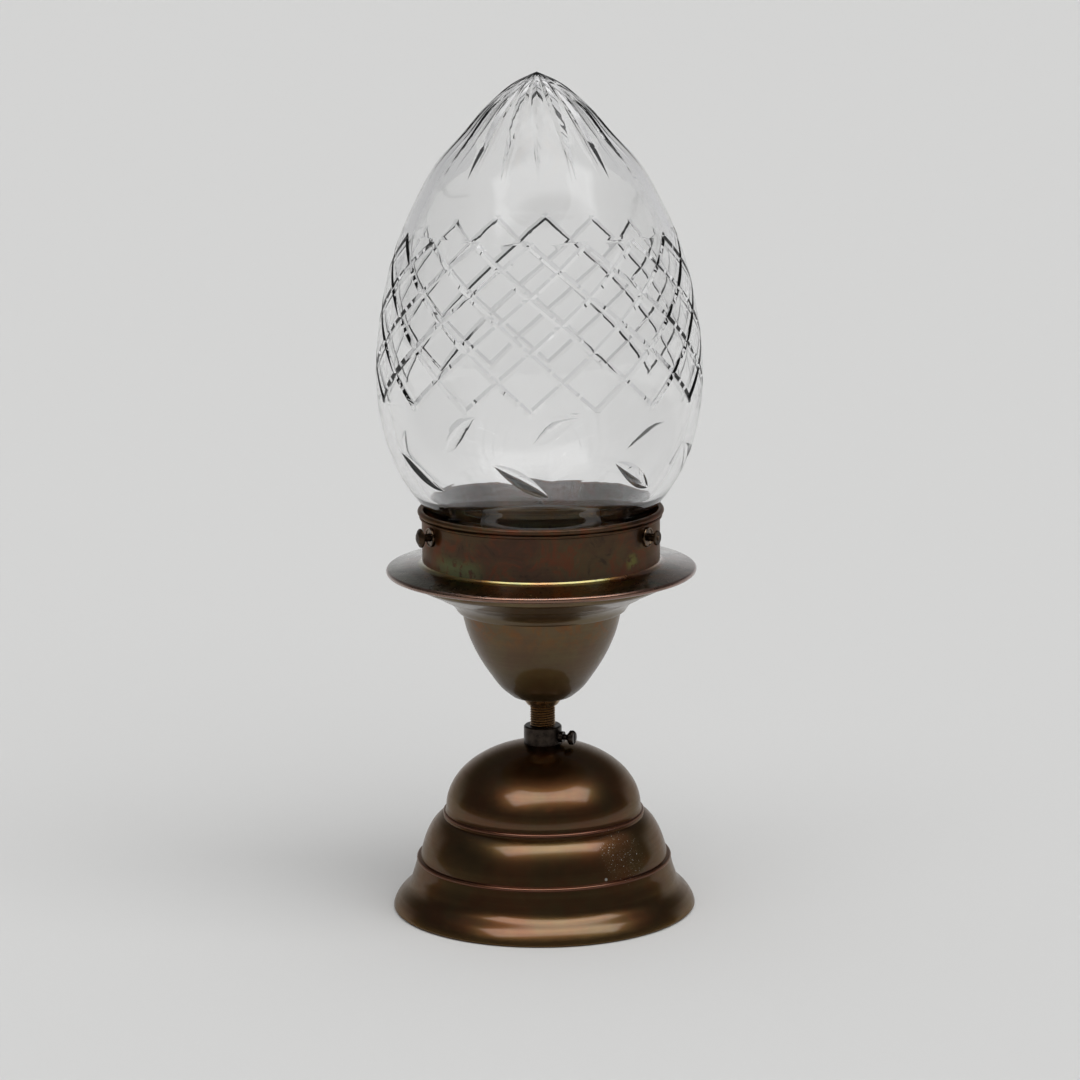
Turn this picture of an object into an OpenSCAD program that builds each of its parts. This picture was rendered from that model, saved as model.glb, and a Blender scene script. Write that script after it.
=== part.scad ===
// Ceiling lamp: a cut-glass egg shade in a brass gallery, standing on its stepped ceiling canopy.
// Units are millimetres. The ceiling plane is z = 0 and the lamp grows towards +Z, as it stands
// on a bench. The axis of every turned and spun piece is the Z axis. The front is -Y.

/* [Canopy] */
// Outer radius of the canopy at its rim
canopy_r = 60; // [54:0.5:70]
// Height of the flared bottom tier, up to its crease
tier3_h = 20; // [18:0.2:24]
// Radius of the canopy at the lower crease
tier2_r = 49.2; // [46:0.2:51]
// Height of the middle tier, between its creases
tier2_h = 18.2; // [14:0.2:22]
// Radius of the canopy's top dome
dome_r = 38.6; // [34:0.2:42]
// Height of the top dome above the upper crease
dome_h = 27.9; // [22:0.1:34]
// Thickness of the spun brass sheet, in the canopy, cup, saucer and gallery
sheet = 0.8; // [0.6:0.1:1.2]
// Radius of the rolled bead at each crease
crease_bead_r = 0.8; // [0.5:0.1:1.2]

/* [Stem] */
// Radius of the threaded tube over its thread
tube_r = 5; // [4.5:0.1:6]
// Radius of the tube's bore
tube_bore_r = 3.9; // [3.4:0.1:4.2]
// Radius of the canopy's collar
collar_r = 7.5; // [7:0.1:9]
// Height of the collar
collar_h = 7.2; // [6:0.1:9]
// Length of thread left bare between the collar and the cone nut
bare_thread = 8.4; // [6:0.1:30]
// Largest radius of the cone nut under the cup
cone_nut_r = 8.2; // [7.4:0.1:10]
// Height of the cone nut
cone_nut_h = 3.6; // [2.4:0.1:5]
// Radial clearance of a turned piece that slides or threads on the tube
running_gap = 0.05; // [0.03:0.01:0.1]

/* [Cup, saucer and gallery] */
// Outer radius of the cup at its mouth
cup_r = 31.7; // [31:0.1:34]
// Height of the cup
cup_h = 35.8; // [32:0.2:44]
// Outer radius of the saucer's bottom step, next to the cup
step1_r = 33.3; // [33:0.1:36]
// Outer radius of the saucer's middle step
step2_r = 41.2; // [40:0.1:45]
// Outer radius of the saucer's rim, under the brim
saucer_r = 50.5; // [48:0.1:54]
// Rise of the saucer's lower slope
step1_h = 6.8; // [5:0.1:9]
// Rise of the saucer's upper slope
step2_h = 4.5; // [3:0.1:7]
// Height of the saucer's upright rim
saucer_rim_h = 6.4; // [6:0.1:10]
// Outer radius of the gallery's brim
brim_r = 60.9; // [56:0.1:68]
// Drop of the brim from the wall to its edge
brim_drop = 2.4; // [1.6:0.1:4]
// Outer radius of the gallery's upright wall
gallery_r = 46.6; // [46.2:0.1:47.4]
// Height of the gallery's wall
gallery_h = 21.4; // [20:0.1:26]
// Radius of the gallery's rolled rim bead
rim_bead_r = 1.2; // [0.9:0.1:1.6]
// Radius of the hole in the gallery's floor
floor_hole_r = 31; // [27:0.5:34]

/* [Shade] */
// Height of the shade from its lip to its tip
shade_h = 189.4; // [170:0.2:210]
// Largest outer radius of the shade
shade_r = 63.4; // [58:0.2:70]
// Outer radius of the shade's neck
neck_r = 39.6; // [38:0.1:40.4]
// Outer radius of the lip below the neck
lip_r = 42.5; // [41.6:0.1:44]
// Height of the lip
lip_h = 5.6; // [4:0.1:7]
// Thickness of the glass
glass = 4; // [3:0.1:5]
// Number of rays in the star on the tip
star_rays = 18; // [12:1:24]
// Depth of a cut, at its deepest
cut_depth = 0.9; // [0.5:0.05:1.4]
// Number of diamonds in one row of the lattice
diamonds = 16; // [12:1:20]
// Number of rows of crossings in the lattice
lattice_rows = 6; // [4:1:6]
// Height from one row of crossings to the next
row_pitch = 9.6; // [8.6:0.1:10.4]
// Number of olive cuts round the bottom of the shade
olives = 8; // [6:1:9]
// Length of an olive cut
olive_len = 24; // [18:0.5:26]
// Width of an olive cut
olive_w = 6.4; // [4:0.2:8]

/* [Screws] */
// Angle of each front shade screw from the middle of the front
screw_spread = 61.5; // [50:0.5:70]
// Radius of a shade screw's shank
shade_screw_r = 1.5; // [1.2:0.1:2]
// Radius of a shade screw's head
shade_head_r = 2.9; // [2.5:0.1:4]
// Radius of the left shade screw's head, a larger and domed one
left_head_r = 3.7; // [2.5:0.1:4.4]
// Turn of the left shade screw towards the side, beyond the right one's
left_screw_turn = 4.5; // [0:0.5:10]
// Height of the shade screws above the gallery's floor
shade_screw_z = 13.3; // [12.4:0.1:13.6]
// Turn of the collar's screw from the right, towards the front
collar_turn = 22; // [0:1:90]
// Radius of the collar's screw
collar_screw_r = 1.1; // [0.9:0.05:1.4]
// Radius of the collar screw's head
collar_head_r = 2.85; // [2.2:0.05:3]

/* [Lampholder] */
// Outer radius of the lampholder
holder_r = 24; // [22:0.2:26]
// Height of the lampholder's cap
holder_cap_h = 25; // [22:0.5:28]
// Height of the lampholder's skirt
skirt_h = 39.4; // [34:0.2:41]
// Thickness of the lampholder's moulded walls
holder_wall = 2.2; // [1.6:0.1:3]
// Inner radius of the lamp's screw shell
shell_r = 13.2; // [12.8:0.1:13.6]
// Length of the screw shell
shell_h = 25; // [20:0.5:28]

/* [Ceiling strap and wiring] */
// Length of the ceiling strap
strap_l = 92; // [84:1:100]
// Width of the ceiling strap
strap_w = 16; // [14:0.5:20]
// Thickness of the ceiling strap
strap_t = 2.5; // [2:0.1:3]
// Height of the strap's raised middle, to its top face
strap_h = 14.5; // [13:0.1:16]
// Half of the distance between the two ceiling slots
slot_x = 38.5; // [36:0.5:41]
// Width of a ceiling slot
slot_w = 5; // [4:0.1:6]
// Length of a ceiling slot, end to end
slot_l = 9; // [7:0.5:11]
// Radius of a wire with its covering
wire_r = 1.1; // [0.9:0.05:1.2]

/* [Hidden] */

$fn = 96;
eps = 0.01;
touch_gap = 0.3;
seam_gap = 0.05;

// Colours
old_brass = "#6b4f2c";
dark_brass = "#3b2f26";
thread_brass = "#8a6f45";
bright_brass = "#b9964e";
steel = "#8c8f92";
bakelite = "#2b2421";
porcelain = "#e9e6dc";
crystal = [0.85, 0.9, 0.92, 0.4];

// Heights, from the ceiling up
crease2_z = tier3_h;
crease1_z = crease2_z + tier2_h;
canopy_top = crease1_z + dome_h;
collar_z = canopy_top;
collar_top = collar_z + collar_h;
cone_nut_z = collar_top + bare_thread;
cup_z = cone_nut_z + cone_nut_h;
cup_top = cup_z + cup_h;
saucer_z = cup_top - sheet;
step2_z = saucer_z + step1_h;
rim_z = step2_z + step2_h;
saucer_top = rim_z + saucer_rim_h;
brim_root = 1.7;
brim_root_drop = 0.45;
brim_slope = (brim_drop - brim_root_drop + 0.1) / (brim_r - 0.9 - gallery_r - brim_root);
floor_z = saucer_top + seam_gap + brim_root_drop + brim_slope * (saucer_r - gallery_r - brim_root)
    + sheet * sqrt(1 + brim_slope * brim_slope);
floor_top = floor_z + sheet;
gallery_top = floor_z + gallery_h;
lip_z = floor_top + touch_gap;
tip_z = lip_z + shade_h;
screw_z = floor_z + shade_screw_z;

// A cubic curve through knots [z, r], with z rising: each stretch meets the next at one slope.
function rise(k, i) = (k[i + 1][1] - k[i][1]) / (k[i + 1][0] - k[i][0]);
function slope_at(k, i) =
    i == 0 ? rise(k, 0)
    : i == len(k) - 1 ? rise(k, i - 1)
    : ((k[i + 1][0] - k[i][0]) * rise(k, i - 1) + (k[i][0] - k[i - 1][0]) * rise(k, i))
      / (k[i + 1][0] - k[i - 1][0]);
function stretch_of(k, z) = max([0, for (i = [0 : len(k) - 2]) if (z >= k[i][0]) i]);
function curve_r(k, z) =
    let (
        i = stretch_of(k, z),
        w = k[i + 1][0] - k[i][0],
        t = (z - k[i][0]) / w,
        a = k[i][1], b = k[i + 1][1], p = w * slope_at(k, i), q = w * slope_at(k, i + 1)
    )
    a + t * (p + t * (3 * (b - a) - 2 * p - q + t * (2 * (a - b) + p + q)));
function curve_points(k, n) =
    [for (i = [0 : n]) let (z = k[0][0] + (k[len(k) - 1][0] - k[0][0]) * i / n) [curve_r(k, z), z]];

// A path moved towards its left by t, which gives a sheet its other face.
function side(v) = [-v[1], v[0]] / norm(v);
function shifted(p, t) =
    [for (i = [0 : len(p) - 1])
        let (
            before = side(p[max(i, 1)] - p[max(i, 1) - 1]),
            after = side(p[min(i, len(p) - 2) + 1] - p[min(i, len(p) - 2)]),
            mid = before + after
        )
        p[i] + mid * (2 * t / (mid * mid))];
function reversed(p) = [for (i = [len(p) - 1 : -1 : 0]) p[i]];

module spun_sheet(path, t) {
    rotate_extrude() polygon(concat(path, reversed(shifted(path, t))));
}

module ring_bead(r, z, bead_r) {
    rotate_extrude() translate([r, z]) circle(bead_r, $fn = 32);
}

module tube(r_out, r_in, h) {
    difference() {
        cylinder(r = r_out, h = h);
        translate([0, 0, -eps]) cylinder(r = r_in, h = h + 2 * eps);
    }
}

module hex_nut(across, h) {
    difference() {
        cylinder(r = across / sqrt(3), h = h, $fn = 6);
        translate([0, 0, -eps]) cylinder(r = tube_r + running_gap, h = h + 2 * eps);
    }
}

// A screw head turned on the Z axis, with its slot across it.
module slotted(slot_width, slot_depth, top) {
    difference() {
        children();
        translate([-6, -slot_width / 2, top - slot_depth]) cube([12, slot_width, slot_depth + 2]);
    }
}

// Canopy: three spun tiers in one sheet, with a bead at each crease and a flared foot
lip_round = 0.8;
foot_w = 1.5;
flare_knots = [
    [lip_round, canopy_r], [lip_round + 1.6, canopy_r - 0.5], [5.6, canopy_r - 2.5],
    [9, tier2_r + (canopy_r - tier2_r) * 0.45], [14, tier2_r + 2.7], [crease2_z, tier2_r + 1]
];
tier2_arc_from = 27;
tier2_arc_to = 84;
tier2_reach = (tier2_r - dome_r) / cos(tier2_arc_from);
tier2_rise = (tier2_h - 1.2) / (sin(tier2_arc_to) - sin(tier2_arc_from));
dome_side = 2.4;
tube_hole_r = tube_r + 0.4;
dome_end = acos((collar_r - 0.4) / dome_r);
dome_rise = (dome_h - dome_side) / sin(dome_end);
canopy_path = concat(
    [[canopy_r - foot_w - 0.7, 0], [canopy_r - 0.7, 0]],
    curve_points(flare_knots, 12),
    [for (i = [0 : 10])
        let (w = tier2_arc_from + (tier2_arc_to - tier2_arc_from) * i / 10)
        [dome_r + tier2_reach * cos(w), crease2_z + tier2_rise * (sin(w) - sin(tier2_arc_from)) + 0.2]],
    [for (i = [0 : 14])
        let (w = dome_end * i / 14)
        [dome_r * cos(w), crease1_z + dome_side + dome_rise * sin(w)]],
    [[tube_hole_r, canopy_top]]
);

module canopy() {
    color(old_brass) {
        spun_sheet(canopy_path, sheet);
        ring_bead(tier2_r + 0.6, crease2_z, crease_bead_r);
        ring_bead(dome_r + 0.5, crease1_z + 0.3, crease_bead_r);
    }
}

// Collar: a turned ring with a threaded boss, which grips the tube
collar_screw_z = collar_z + collar_h * 0.4;
collar_boss_x = collar_r + 1.4;
module collar_side() {
    rotate([0, 0, -collar_turn]) translate([0, 0, collar_screw_z]) rotate([0, 90, 0]) children();
}
module collar() {
    chamfer = 0.5;
    color(dark_brass) difference() {
        union() {
            translate([0, 0, collar_z]) rotate_extrude() polygon([
                [tube_r + running_gap, 0], [collar_r, 0], [collar_r, collar_h - chamfer],
                [collar_r - chamfer, collar_h], [tube_r + running_gap, collar_h]
            ]);
            collar_side() translate([0, 0, collar_r - 1]) cylinder(r = 2.2, h = collar_boss_x - collar_r + 1);
        }
        collar_side() cylinder(r = collar_screw_r + running_gap, h = collar_boss_x + 1);
        translate([0, 0, collar_z - 1]) cylinder(r = tube_r + running_gap, h = collar_h + 2);
    }
}

// Collar screw: its head widens outwards from the shank, and a slot crosses it
module collar_screw() {
    tip = tube_r + 0.1;
    under_head = collar_boss_x + 1.4;
    length = under_head + 3.2;
    color(dark_brass) collar_side()
        slotted(0.9, 1.3, length)
            rotate_extrude($fn = 48) polygon([
                [0, tip], [collar_screw_r - 0.3, tip], [collar_screw_r, tip + 0.5],
                [collar_screw_r, under_head], [collar_head_r, under_head + 1.4],
                [collar_head_r, length - 0.6], [collar_head_r - 0.5, length], [0, length]
            ]);
}

// Threaded tube: it carries the whole lamp and the two wires
tube_z = 8;
tube_top = cup_z + 12.5;
module threaded_tube() {
    color(thread_brass) translate([0, 0, tube_z]) tube(tube_r, tube_bore_r, tube_top - tube_z);
}

module cone_nut() {
    bore = tube_r + running_gap;
    color(thread_brass) translate([0, 0, cone_nut_z]) rotate_extrude() polygon([
        [bore, 0], [tube_r + 0.9, 0], [cone_nut_r, cone_nut_h - 0.6],
        [cone_nut_r, cone_nut_h], [bore, cone_nut_h]
    ]);
}

// Cup: a deep bowl whose turned-out lip is soldered on the saucer's floor
cup_floor_r = 11.4;
cup_knots = [
    [cup_z + 0.3, cup_floor_r + 0.6], [cup_z + 2.6, 14.9], [cup_z + 0.27 * cup_h, cup_r * 0.65],
    [cup_z + 0.42 * cup_h, cup_r * 0.76], [cup_z + 0.7 * cup_h, cup_r * 0.91], [cup_top, cup_r]
];
cup_path = concat(
    [[tube_hole_r, cup_z], [cup_floor_r, cup_z]],
    curve_points(cup_knots, 16)
);
module cup() {
    color(old_brass) {
        spun_sheet(cup_path, sheet);
        translate([0, 0, cup_top]) tube(cup_r + 0.2, cup_r - sheet, sheet);
    }
}

washer_t = 1;
cup_nut_h = 3.4;
module cup_washer() {
    color(steel) translate([0, 0, cup_z + sheet]) tube(9, tube_hole_r, washer_t);
}
module cup_nut() {
    color(thread_brass) translate([0, 0, cup_z + sheet + washer_t]) hex_nut(15, cup_nut_h);
}

// Saucer: a hollow slope, a straight slope and an upright rim, between the cup and the brim
hollow_w = step2_r - step1_r;
saucer_path = [
    [cup_r + 0.1, saucer_z], [step1_r - 0.3, saucer_z], [step1_r, saucer_z + 0.3],
    [step1_r + 0.2 * hollow_w, saucer_z + 0.38 * step1_h],
    [step1_r + 0.52 * hollow_w, saucer_z + 0.69 * step1_h],
    [step2_r - 0.6, step2_z - 0.5], [step2_r, step2_z],
    [saucer_r - 0.8, rim_z - 0.4], [saucer_r, rim_z + 0.4], [saucer_r, saucer_top]
];
module saucer() {
    color(old_brass) spun_sheet(saucer_path, sheet);
}

// Brim: a plate that the cup and the saucer hang from, whose edge is rolled down outside the gallery
brim_edge_z = floor_z - brim_drop;
edge_r = 1.1;
brim_path = [
    [gallery_r + brim_root, floor_z - brim_root_drop], [brim_r - 0.9, brim_edge_z - 0.1]
];
module brim() {
    inner = gallery_r - sheet;
    color(old_brass) {
        translate([0, 0, floor_z]) tube(gallery_r, floor_hole_r, sheet);
        rotate_extrude() polygon([
            [inner, floor_z], [inner, floor_z - 0.7],
            [gallery_r + brim_root, floor_z - brim_root_drop - sheet],
            [gallery_r + brim_root + 0.2, floor_z - brim_root_drop - 0.05],
            [gallery_r + 0.6, floor_z + 0.1], [gallery_r, floor_z + sheet]
        ]);
        spun_sheet(brim_path, -sheet);
        ring_bead(brim_r - edge_r, brim_edge_z - edge_r + 0.2, edge_r);
    }
}

// Gallery: the upright wall with its rolled rim, soldered on the brim's plate
bead2_drop = 3.2;
bead2_r = 0.7;
module gallery() {
    color(old_brass) difference() {
        union() {
            translate([0, 0, floor_top]) tube(gallery_r, gallery_r - sheet, gallery_h - sheet - rim_bead_r);
            ring_bead(gallery_r + 0.4, gallery_top - rim_bead_r, rim_bead_r);
            ring_bead(gallery_r + 0.25, gallery_top - bead2_drop, bead2_r);
        }
        for (i = [0 : 2]) screw_place(i) cylinder(r = shade_screw_r + running_gap, h = gallery_r + boss_t);
    }
}

// Shade screws: three bosses soldered on the wall, each with a thumb screw. The third is the left one.
shade_screw_angles = [-90 + screw_spread, 90, -90 - screw_spread - left_screw_turn];
boss_r = 3.9;
boss_t = 0.8;
head_reach = 2.9;
head_t = 1;
module screw_place(i) {
    rotate([0, 0, shade_screw_angles[i]]) translate([0, 0, screw_z]) rotate([0, 90, 0]) children();
}
module gallery_boss(i) {
    screw_place(i) difference() {
        cylinder(r = boss_r, h = gallery_r + boss_t, $fn = 48);
        cylinder(r = shade_screw_r + running_gap, h = gallery_r + boss_t + 1);
        rotate([0, -90, 0]) translate([0, 0, -20])
            cylinder(r = gallery_r + 0.02, h = 40, $fn = 384);
    }
}
module screw_bosses() {
    color(old_brass) for (i = [0 : 2]) gallery_boss(i);
}
module shade_screw(i) {
    tip = lip_r + touch_gap;
    under_head = gallery_r + boss_t + head_reach;
    edge = under_head + head_t;
    head_r = i == 2 ? left_head_r : shade_head_r;
    dome = [[head_r * 0.5, edge + 0.9], [0, edge + 1.1]];
    button = [[1.1, edge + 0.1], [0.9, edge + 0.5], [0, edge + 0.5]];
    color(thread_brass) screw_place(i) rotate_extrude($fn = 48) polygon(concat([
        [0, tip], [shade_screw_r - 0.4, tip], [shade_screw_r, tip + 0.6], [shade_screw_r, under_head],
        [head_r - 0.2, under_head + 0.1], [head_r, under_head + 0.3], [head_r, edge - 0.3], [head_r - 0.3, edge]
    ], i == 2 ? dome : button));
}
module shade_screw_1() shade_screw(0);
module shade_screw_2() shade_screw(1);
module shade_screw_3() shade_screw(2);

// Shade: its outside is a list of triangles whose corners are [turn in degrees, height, depth of cut].
// The depth is taken square to the glass, so that a cut is as deep on the tip as on the side.
shade_knots = [
    [lip_z + 7.4, neck_r], [lip_z + 13.6, neck_r + 0.3], [lip_z + 17.2, neck_r + 2.3],
    [lip_z + 25.2, neck_r + 9.2], [lip_z + 0.18 * shade_h, shade_r * 0.862],
    [lip_z + 0.238 * shade_h, shade_r * 0.935], [lip_z + 0.301 * shade_h, shade_r * 0.98],
    [lip_z + 0.379 * shade_h, shade_r], [lip_z + 0.448 * shade_h, shade_r * 0.991],
    [lip_z + 0.522 * shade_h, shade_r * 0.961], [lip_z + 0.595 * shade_h, shade_r * 0.915],
    [lip_z + 0.669 * shade_h, shade_r * 0.844], [lip_z + 0.742 * shade_h, shade_r * 0.745],
    [lip_z + 0.816 * shade_h, shade_r * 0.617], [lip_z + 0.879 * shade_h, shade_r * 0.449],
    [lip_z + 0.942 * shade_h, shade_r * 0.275], [lip_z + 0.991 * shade_h, shade_r * 0.066], [tip_z, 0]
];
function shade_slope(z) =
    let (low = max(z - 0.2, shade_knots[0][0]), high = min(z + 0.2, tip_z))
    (curve_r(shade_knots, high) - curve_r(shade_knots, low)) / (high - low);
function on_glass(p) =
    let (
        tilt = shade_slope(p[1]),
        along = sqrt(1 + tilt * tilt),
        r = p[1] > tip_z - eps ? 0 : curve_r(shade_knots, p[1]) - p[2] / along,
        z = p[1] > tip_z - eps ? tip_z : p[1] + p[2] * tilt / along
    )
    [round(r * cos(p[0]) * 1e4), round(r * sin(p[0]) * 1e4), round(z * 1e4)] / 1e4;
// Turned so that it faces out: its corners run clockwise, seen from outside.
function faced(t) =
    (t[1][0] - t[0][0]) * (t[2][1] - t[0][1]) - (t[2][0] - t[0][0]) * (t[1][1] - t[0][1]) < 0
        ? t : [t[0], t[2], t[1]];

// A ring is a count of columns, the turn of its first column and its height.
function ring_point(ring, j) = [ring[1] + 360 * j / ring[0], ring[2], 0];
// Joins two rings of any counts: each edge of one meets the nearest point of the other.
function zipped(a, b) =
    let (n = a[0], m = b[0])
    concat(
        [for (i = [0 : n - 1])
            [ring_point(a, i), ring_point(a, i + 1), ring_point(b, floor(((2 * i + 1) * m + n) / (2 * n)))]],
        [for (k = [0 : m - 1])
            [ring_point(b, k), ring_point(b, k + 1), ring_point(a, ceil(((2 * k + 1) * n - m) / (2 * m)))]]
    );
// The same ring, begun at the column nearest to a turn.
function begun_at(ring, turn) =
    let (step = 360 / ring[0])
    [ring[0], ring[1] + step * round((turn - ring[1]) / step), ring[2]];
// Joins rows of points that have one column count, corner to corner, and closes them round.
function skin(rows, turn = 360) =
    let (n = len(rows[0]))
    [for (i = [0 : len(rows) - 2]) for (j = [0 : n - 1])
        let (
            over = j == n - 1 ? [turn, 0, 0] : [0, 0, 0],
            a = rows[i][j], b = rows[i][(j + 1) % n] + over,
            c = rows[i + 1][(j + 1) % n] + over, d = rows[i + 1][j]
        )
        each [[a, b, c], [a, c, d]]];

// Star: each ray is a groove from the tip, widest half way down, that ends in a point
star_turn = -89.6;
star_end_z = lip_z + 0.8 * shade_h;
star_wide_z = lip_z + 0.9 * shade_h;
star_ring = [4 * star_rays, star_turn, star_end_z - 3.6];
ray_half_w = 2.2;
ray_max_share = 0.8;
function ray_half_turn(z) =
    let (w = ray_half_w * min(1, (z - star_end_z) / (star_wide_z - star_end_z)))
    max(0.06, min(ray_max_share * 180 / star_rays, asin(min(1, w / max(1, curve_r(shade_knots, z))))));
function ray_depth(z) =
    let (r = curve_r(shade_knots, z))
    min(cut_depth * 1.3, 0.75 * r * sin(ray_half_turn(z))) * (z > star_end_z + eps ? 1 : 0);
function star_row(z) =
    [for (k = [0 : star_rays - 1])
        let (c = star_turn + 360 * k / star_rays, w = ray_half_turn(z))
        each [
            [c, z, ray_depth(z)], [c + w, z, 0],
            [c + 180 / star_rays, z, 0], [c + 360 / star_rays - w, z, 0]
        ]];
star_steps = 7;
star_top_z = tip_z - 2;
star_rows = [for (i = [0 : star_steps]) star_row(star_top_z + (star_end_z - star_top_z) * i / star_steps)];
star_last = [for (j = [0 : star_ring[0] - 1]) ring_point(star_ring, j)];
star_tip = [for (j = [0 : 4 * star_rays - 1])
    let (
        over = [j == 4 * star_rays - 1 ? 360 : 0, 0, 0],
        a = star_rows[0][j], b = star_rows[0][(j + 1) % (4 * star_rays)] + over
    )
    [[a[0], tip_z, 0], a, b]];

// Lattice: grooves that cross at its nodes. In its own measure a node is at whole numbers [a, b] whose
// sum is even, a counts half diamonds round the glass, and b counts rows down from the top row.
lattice_turn = -93.4;
lattice_z = lip_z + 0.6823 * shade_h;
half_turn = 180 / diamonds;
inset = 0.165;
tip_above = 0.6;
tip_below = 0.85;
edge_margin = 0.5;
last_row = lattice_rows - 1;
function lattice(p, depth = 0) = [lattice_turn + half_turn * p[0], lattice_z - row_pitch * p[1], depth];
compass = [[0, -1], [1, 0], [0, 1], [-1, 0]];
// One edge of a diamond, from its corner k to the next: two flank strips and two slices of its flat face.
function diamond_edge(c, k) =
    let (
        k2 = (k + 1) % 4,
        n0 = c + compass[k], n1 = c + compass[k2],
        i0 = c + compass[k] * (1 - inset), i1 = c + compass[k2] * (1 - inset),
        groove0 = lattice(n0, cut_depth), groove1 = lattice(n1, cut_depth),
        groove_mid = lattice((n0 + n1) / 2, cut_depth),
        in0 = lattice(i0), in1 = lattice(i1), in_mid = lattice((i0 + i1) / 2), centre = lattice(c)
    )
    [
        [groove0, groove_mid, in_mid], [groove0, in_mid, in0],
        [groove_mid, groove1, in1], [groove_mid, in1, in_mid],
        [centre, in0, in_mid], [centre, in_mid, in1]
    ];
full_diamonds = [for (b = [1 : last_row - 1]) for (a = [0 : 2 * diamonds - 1]) if ((a + b) % 2 == 1)
    for (k = [0 : 3]) each diamond_edge([a, b], k)];
// The zigzag border: dir is -1 above the first row and 1 below the last. Each groove runs on past its
// node by `run`, rises to the surface and ends, and the smooth glass meets the ring at `rim`.
function border(row, dir, run) =
    let (rim = row + dir * (run + edge_margin))
    [for (a = [0 : 2 * diamonds - 1]) each ((a + row) % 2 == 1
        ? let (
            c = lattice([a, row]),
            in_left = lattice([a - 1 + inset, row]), in_right = lattice([a + 1 - inset, row]),
            tip_left = lattice([a - 1 + run, row + dir * run]),
            tip_right = lattice([a + 1 - run, row + dir * run]),
            rim_left = lattice([a - 1 / 3, rim]), rim_right = lattice([a + 1 / 3, rim])
        )
        concat(
            diamond_edge([a, row], dir < 0 ? 1 : 3),
            diamond_edge([a, row], dir < 0 ? 2 : 0),
            [
                [c, in_left, tip_left], [c, tip_left, tip_right], [c, tip_right, in_right],
                [tip_left, rim_left, rim_right], [tip_left, rim_right, tip_right],
                [lattice([a - 1, row], cut_depth), tip_left, in_left],
                [lattice([a + 1, row], cut_depth), in_right, tip_right]
            ]
        )
        : let (
            n = lattice([a, row], cut_depth), crotch = lattice([a, row + dir * inset]),
            over = lattice([a, rim]),
            tip_left = lattice([a - run, row + dir * run]), tip_right = lattice([a + run, row + dir * run])
        )
        [
            [n, crotch, tip_right], [n, crotch, tip_left],
            [crotch, tip_right, over], [crotch, tip_left, over],
            [tip_right, over, lattice([a + 2 / 3, rim])], [tip_left, over, lattice([a - 2 / 3, rim])]
        ])];
function lattice_ring(row, dir, run) =
    let (rim = row + dir * (run + edge_margin), first = row % 2)
    [3 * diamonds, lattice_turn + half_turn * first, lattice_z - row_pitch * rim];
top_ring = lattice_ring(0, -1, tip_above);
bottom_ring = lattice_ring(last_row, 1, tip_below);

// Olives: slanted lens cuts. Five columns follow each lens and one crosses the glass to the next.
olive_turn = -97;
olive_z = lip_z + 0.2148 * shade_h;
olive_slope = 33;
olive_columns = 6;
olive_round_r = curve_r(shade_knots, olive_z);
olive_half_turn = olive_len / 2 * cos(olive_slope) / olive_round_r * 180 / PI;
olive_half_drop = olive_len / 2 * sin(olive_slope) * 0.95;
olive_sliver = 0.25;
function olive_share(j) = j < 5 ? (j - 2) / 2 : 0;
function olive_swell(j) = j < 5 ? 1 - pow(olive_share(j), 2) : 0;
function olive_row(level) =
    [for (k = [0 : olives - 1]) for (j = [0 : olive_columns - 1])
        let (
            turn = olive_turn + 360 * k / olives + (j < 5 ? olive_half_turn * olive_share(j) : 180 / olives),
            half = olive_sliver + (olive_w / 2 / cos(olive_slope) - olive_sliver) * olive_swell(j)
        )
        [turn, olive_z - olive_half_drop * olive_share(j) + level * half,
         level == 0 ? 1.9 * cut_depth * olive_swell(j) : 0]];
function plain_row(z) =
    let (n = olives * olive_columns)
    [for (j = [0 : n - 1]) [olive_turn + 360 * (j - 2) / n, z, 0]];
olive_margin = 3.2;
olive_top_z = olive_z + olive_half_drop + olive_w / 2 + olive_margin;
olive_low_z = olive_z - olive_half_drop - olive_w / 2 - olive_margin;
meet_z = (bottom_ring[2] + olive_top_z) / 2;
olive_ring = [olives * olive_columns, olive_turn - 720 / (olives * olive_columns), meet_z];
low_rows = concat(
    [plain_row(meet_z), plain_row(olive_top_z), olive_row(1), olive_row(0), olive_row(-1)],
    [for (z = concat(olive_low_z, [for (up = [25.2, 21.2, 17.2, 13.6, 7.4]) lip_z + up])) plain_row(z)]
);

cut_glass = concat(
    star_tip, skin(star_rows), skin([star_rows[star_steps], star_last]),
    zipped(begun_at(top_ring, star_turn), star_ring),
    border(0, -1, tip_above), full_diamonds, border(last_row, 1, tip_below),
    zipped(begun_at(bottom_ring, olive_ring[1]), olive_ring), skin(low_rows)
);

// Below the cuts the shade is plain: the neck, the lip, the lip's face, and the whole of the inside
column_turns = [for (p = plain_row(0)) p[0]];
glass_tip = 6;
inside_knots = [for (k = shade_knots) if (k[0] > lip_z + 24 && k[0] < tip_z - 20) k];
inside_top = tip_z - glass_tip;
inside_path = concat(
    [for (z = [for (k = inside_knots) k[0]])
        let (tilt = shade_slope(z), along = sqrt(1 + tilt * tilt))
        [curve_r(shade_knots, z) - glass / along, z + glass * tilt / along]],
    [[curve_r(shade_knots, tip_z - 14) * 0.72, tip_z - 17], [4, inside_top - 1.4]]
);
neck_path = [
    [neck_r, lip_z + 7.4], [lip_r, lip_z + lip_h], [lip_r, lip_z + 0.8], [lip_r - 0.8, lip_z],
    [neck_r - glass + 0.5, lip_z], [neck_r - glass, lip_z + 0.6], [neck_r - glass, lip_z + 15],
    [neck_r - glass + 1.8, lip_z + 20]
];
plain_path = concat(neck_path, inside_path);
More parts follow.
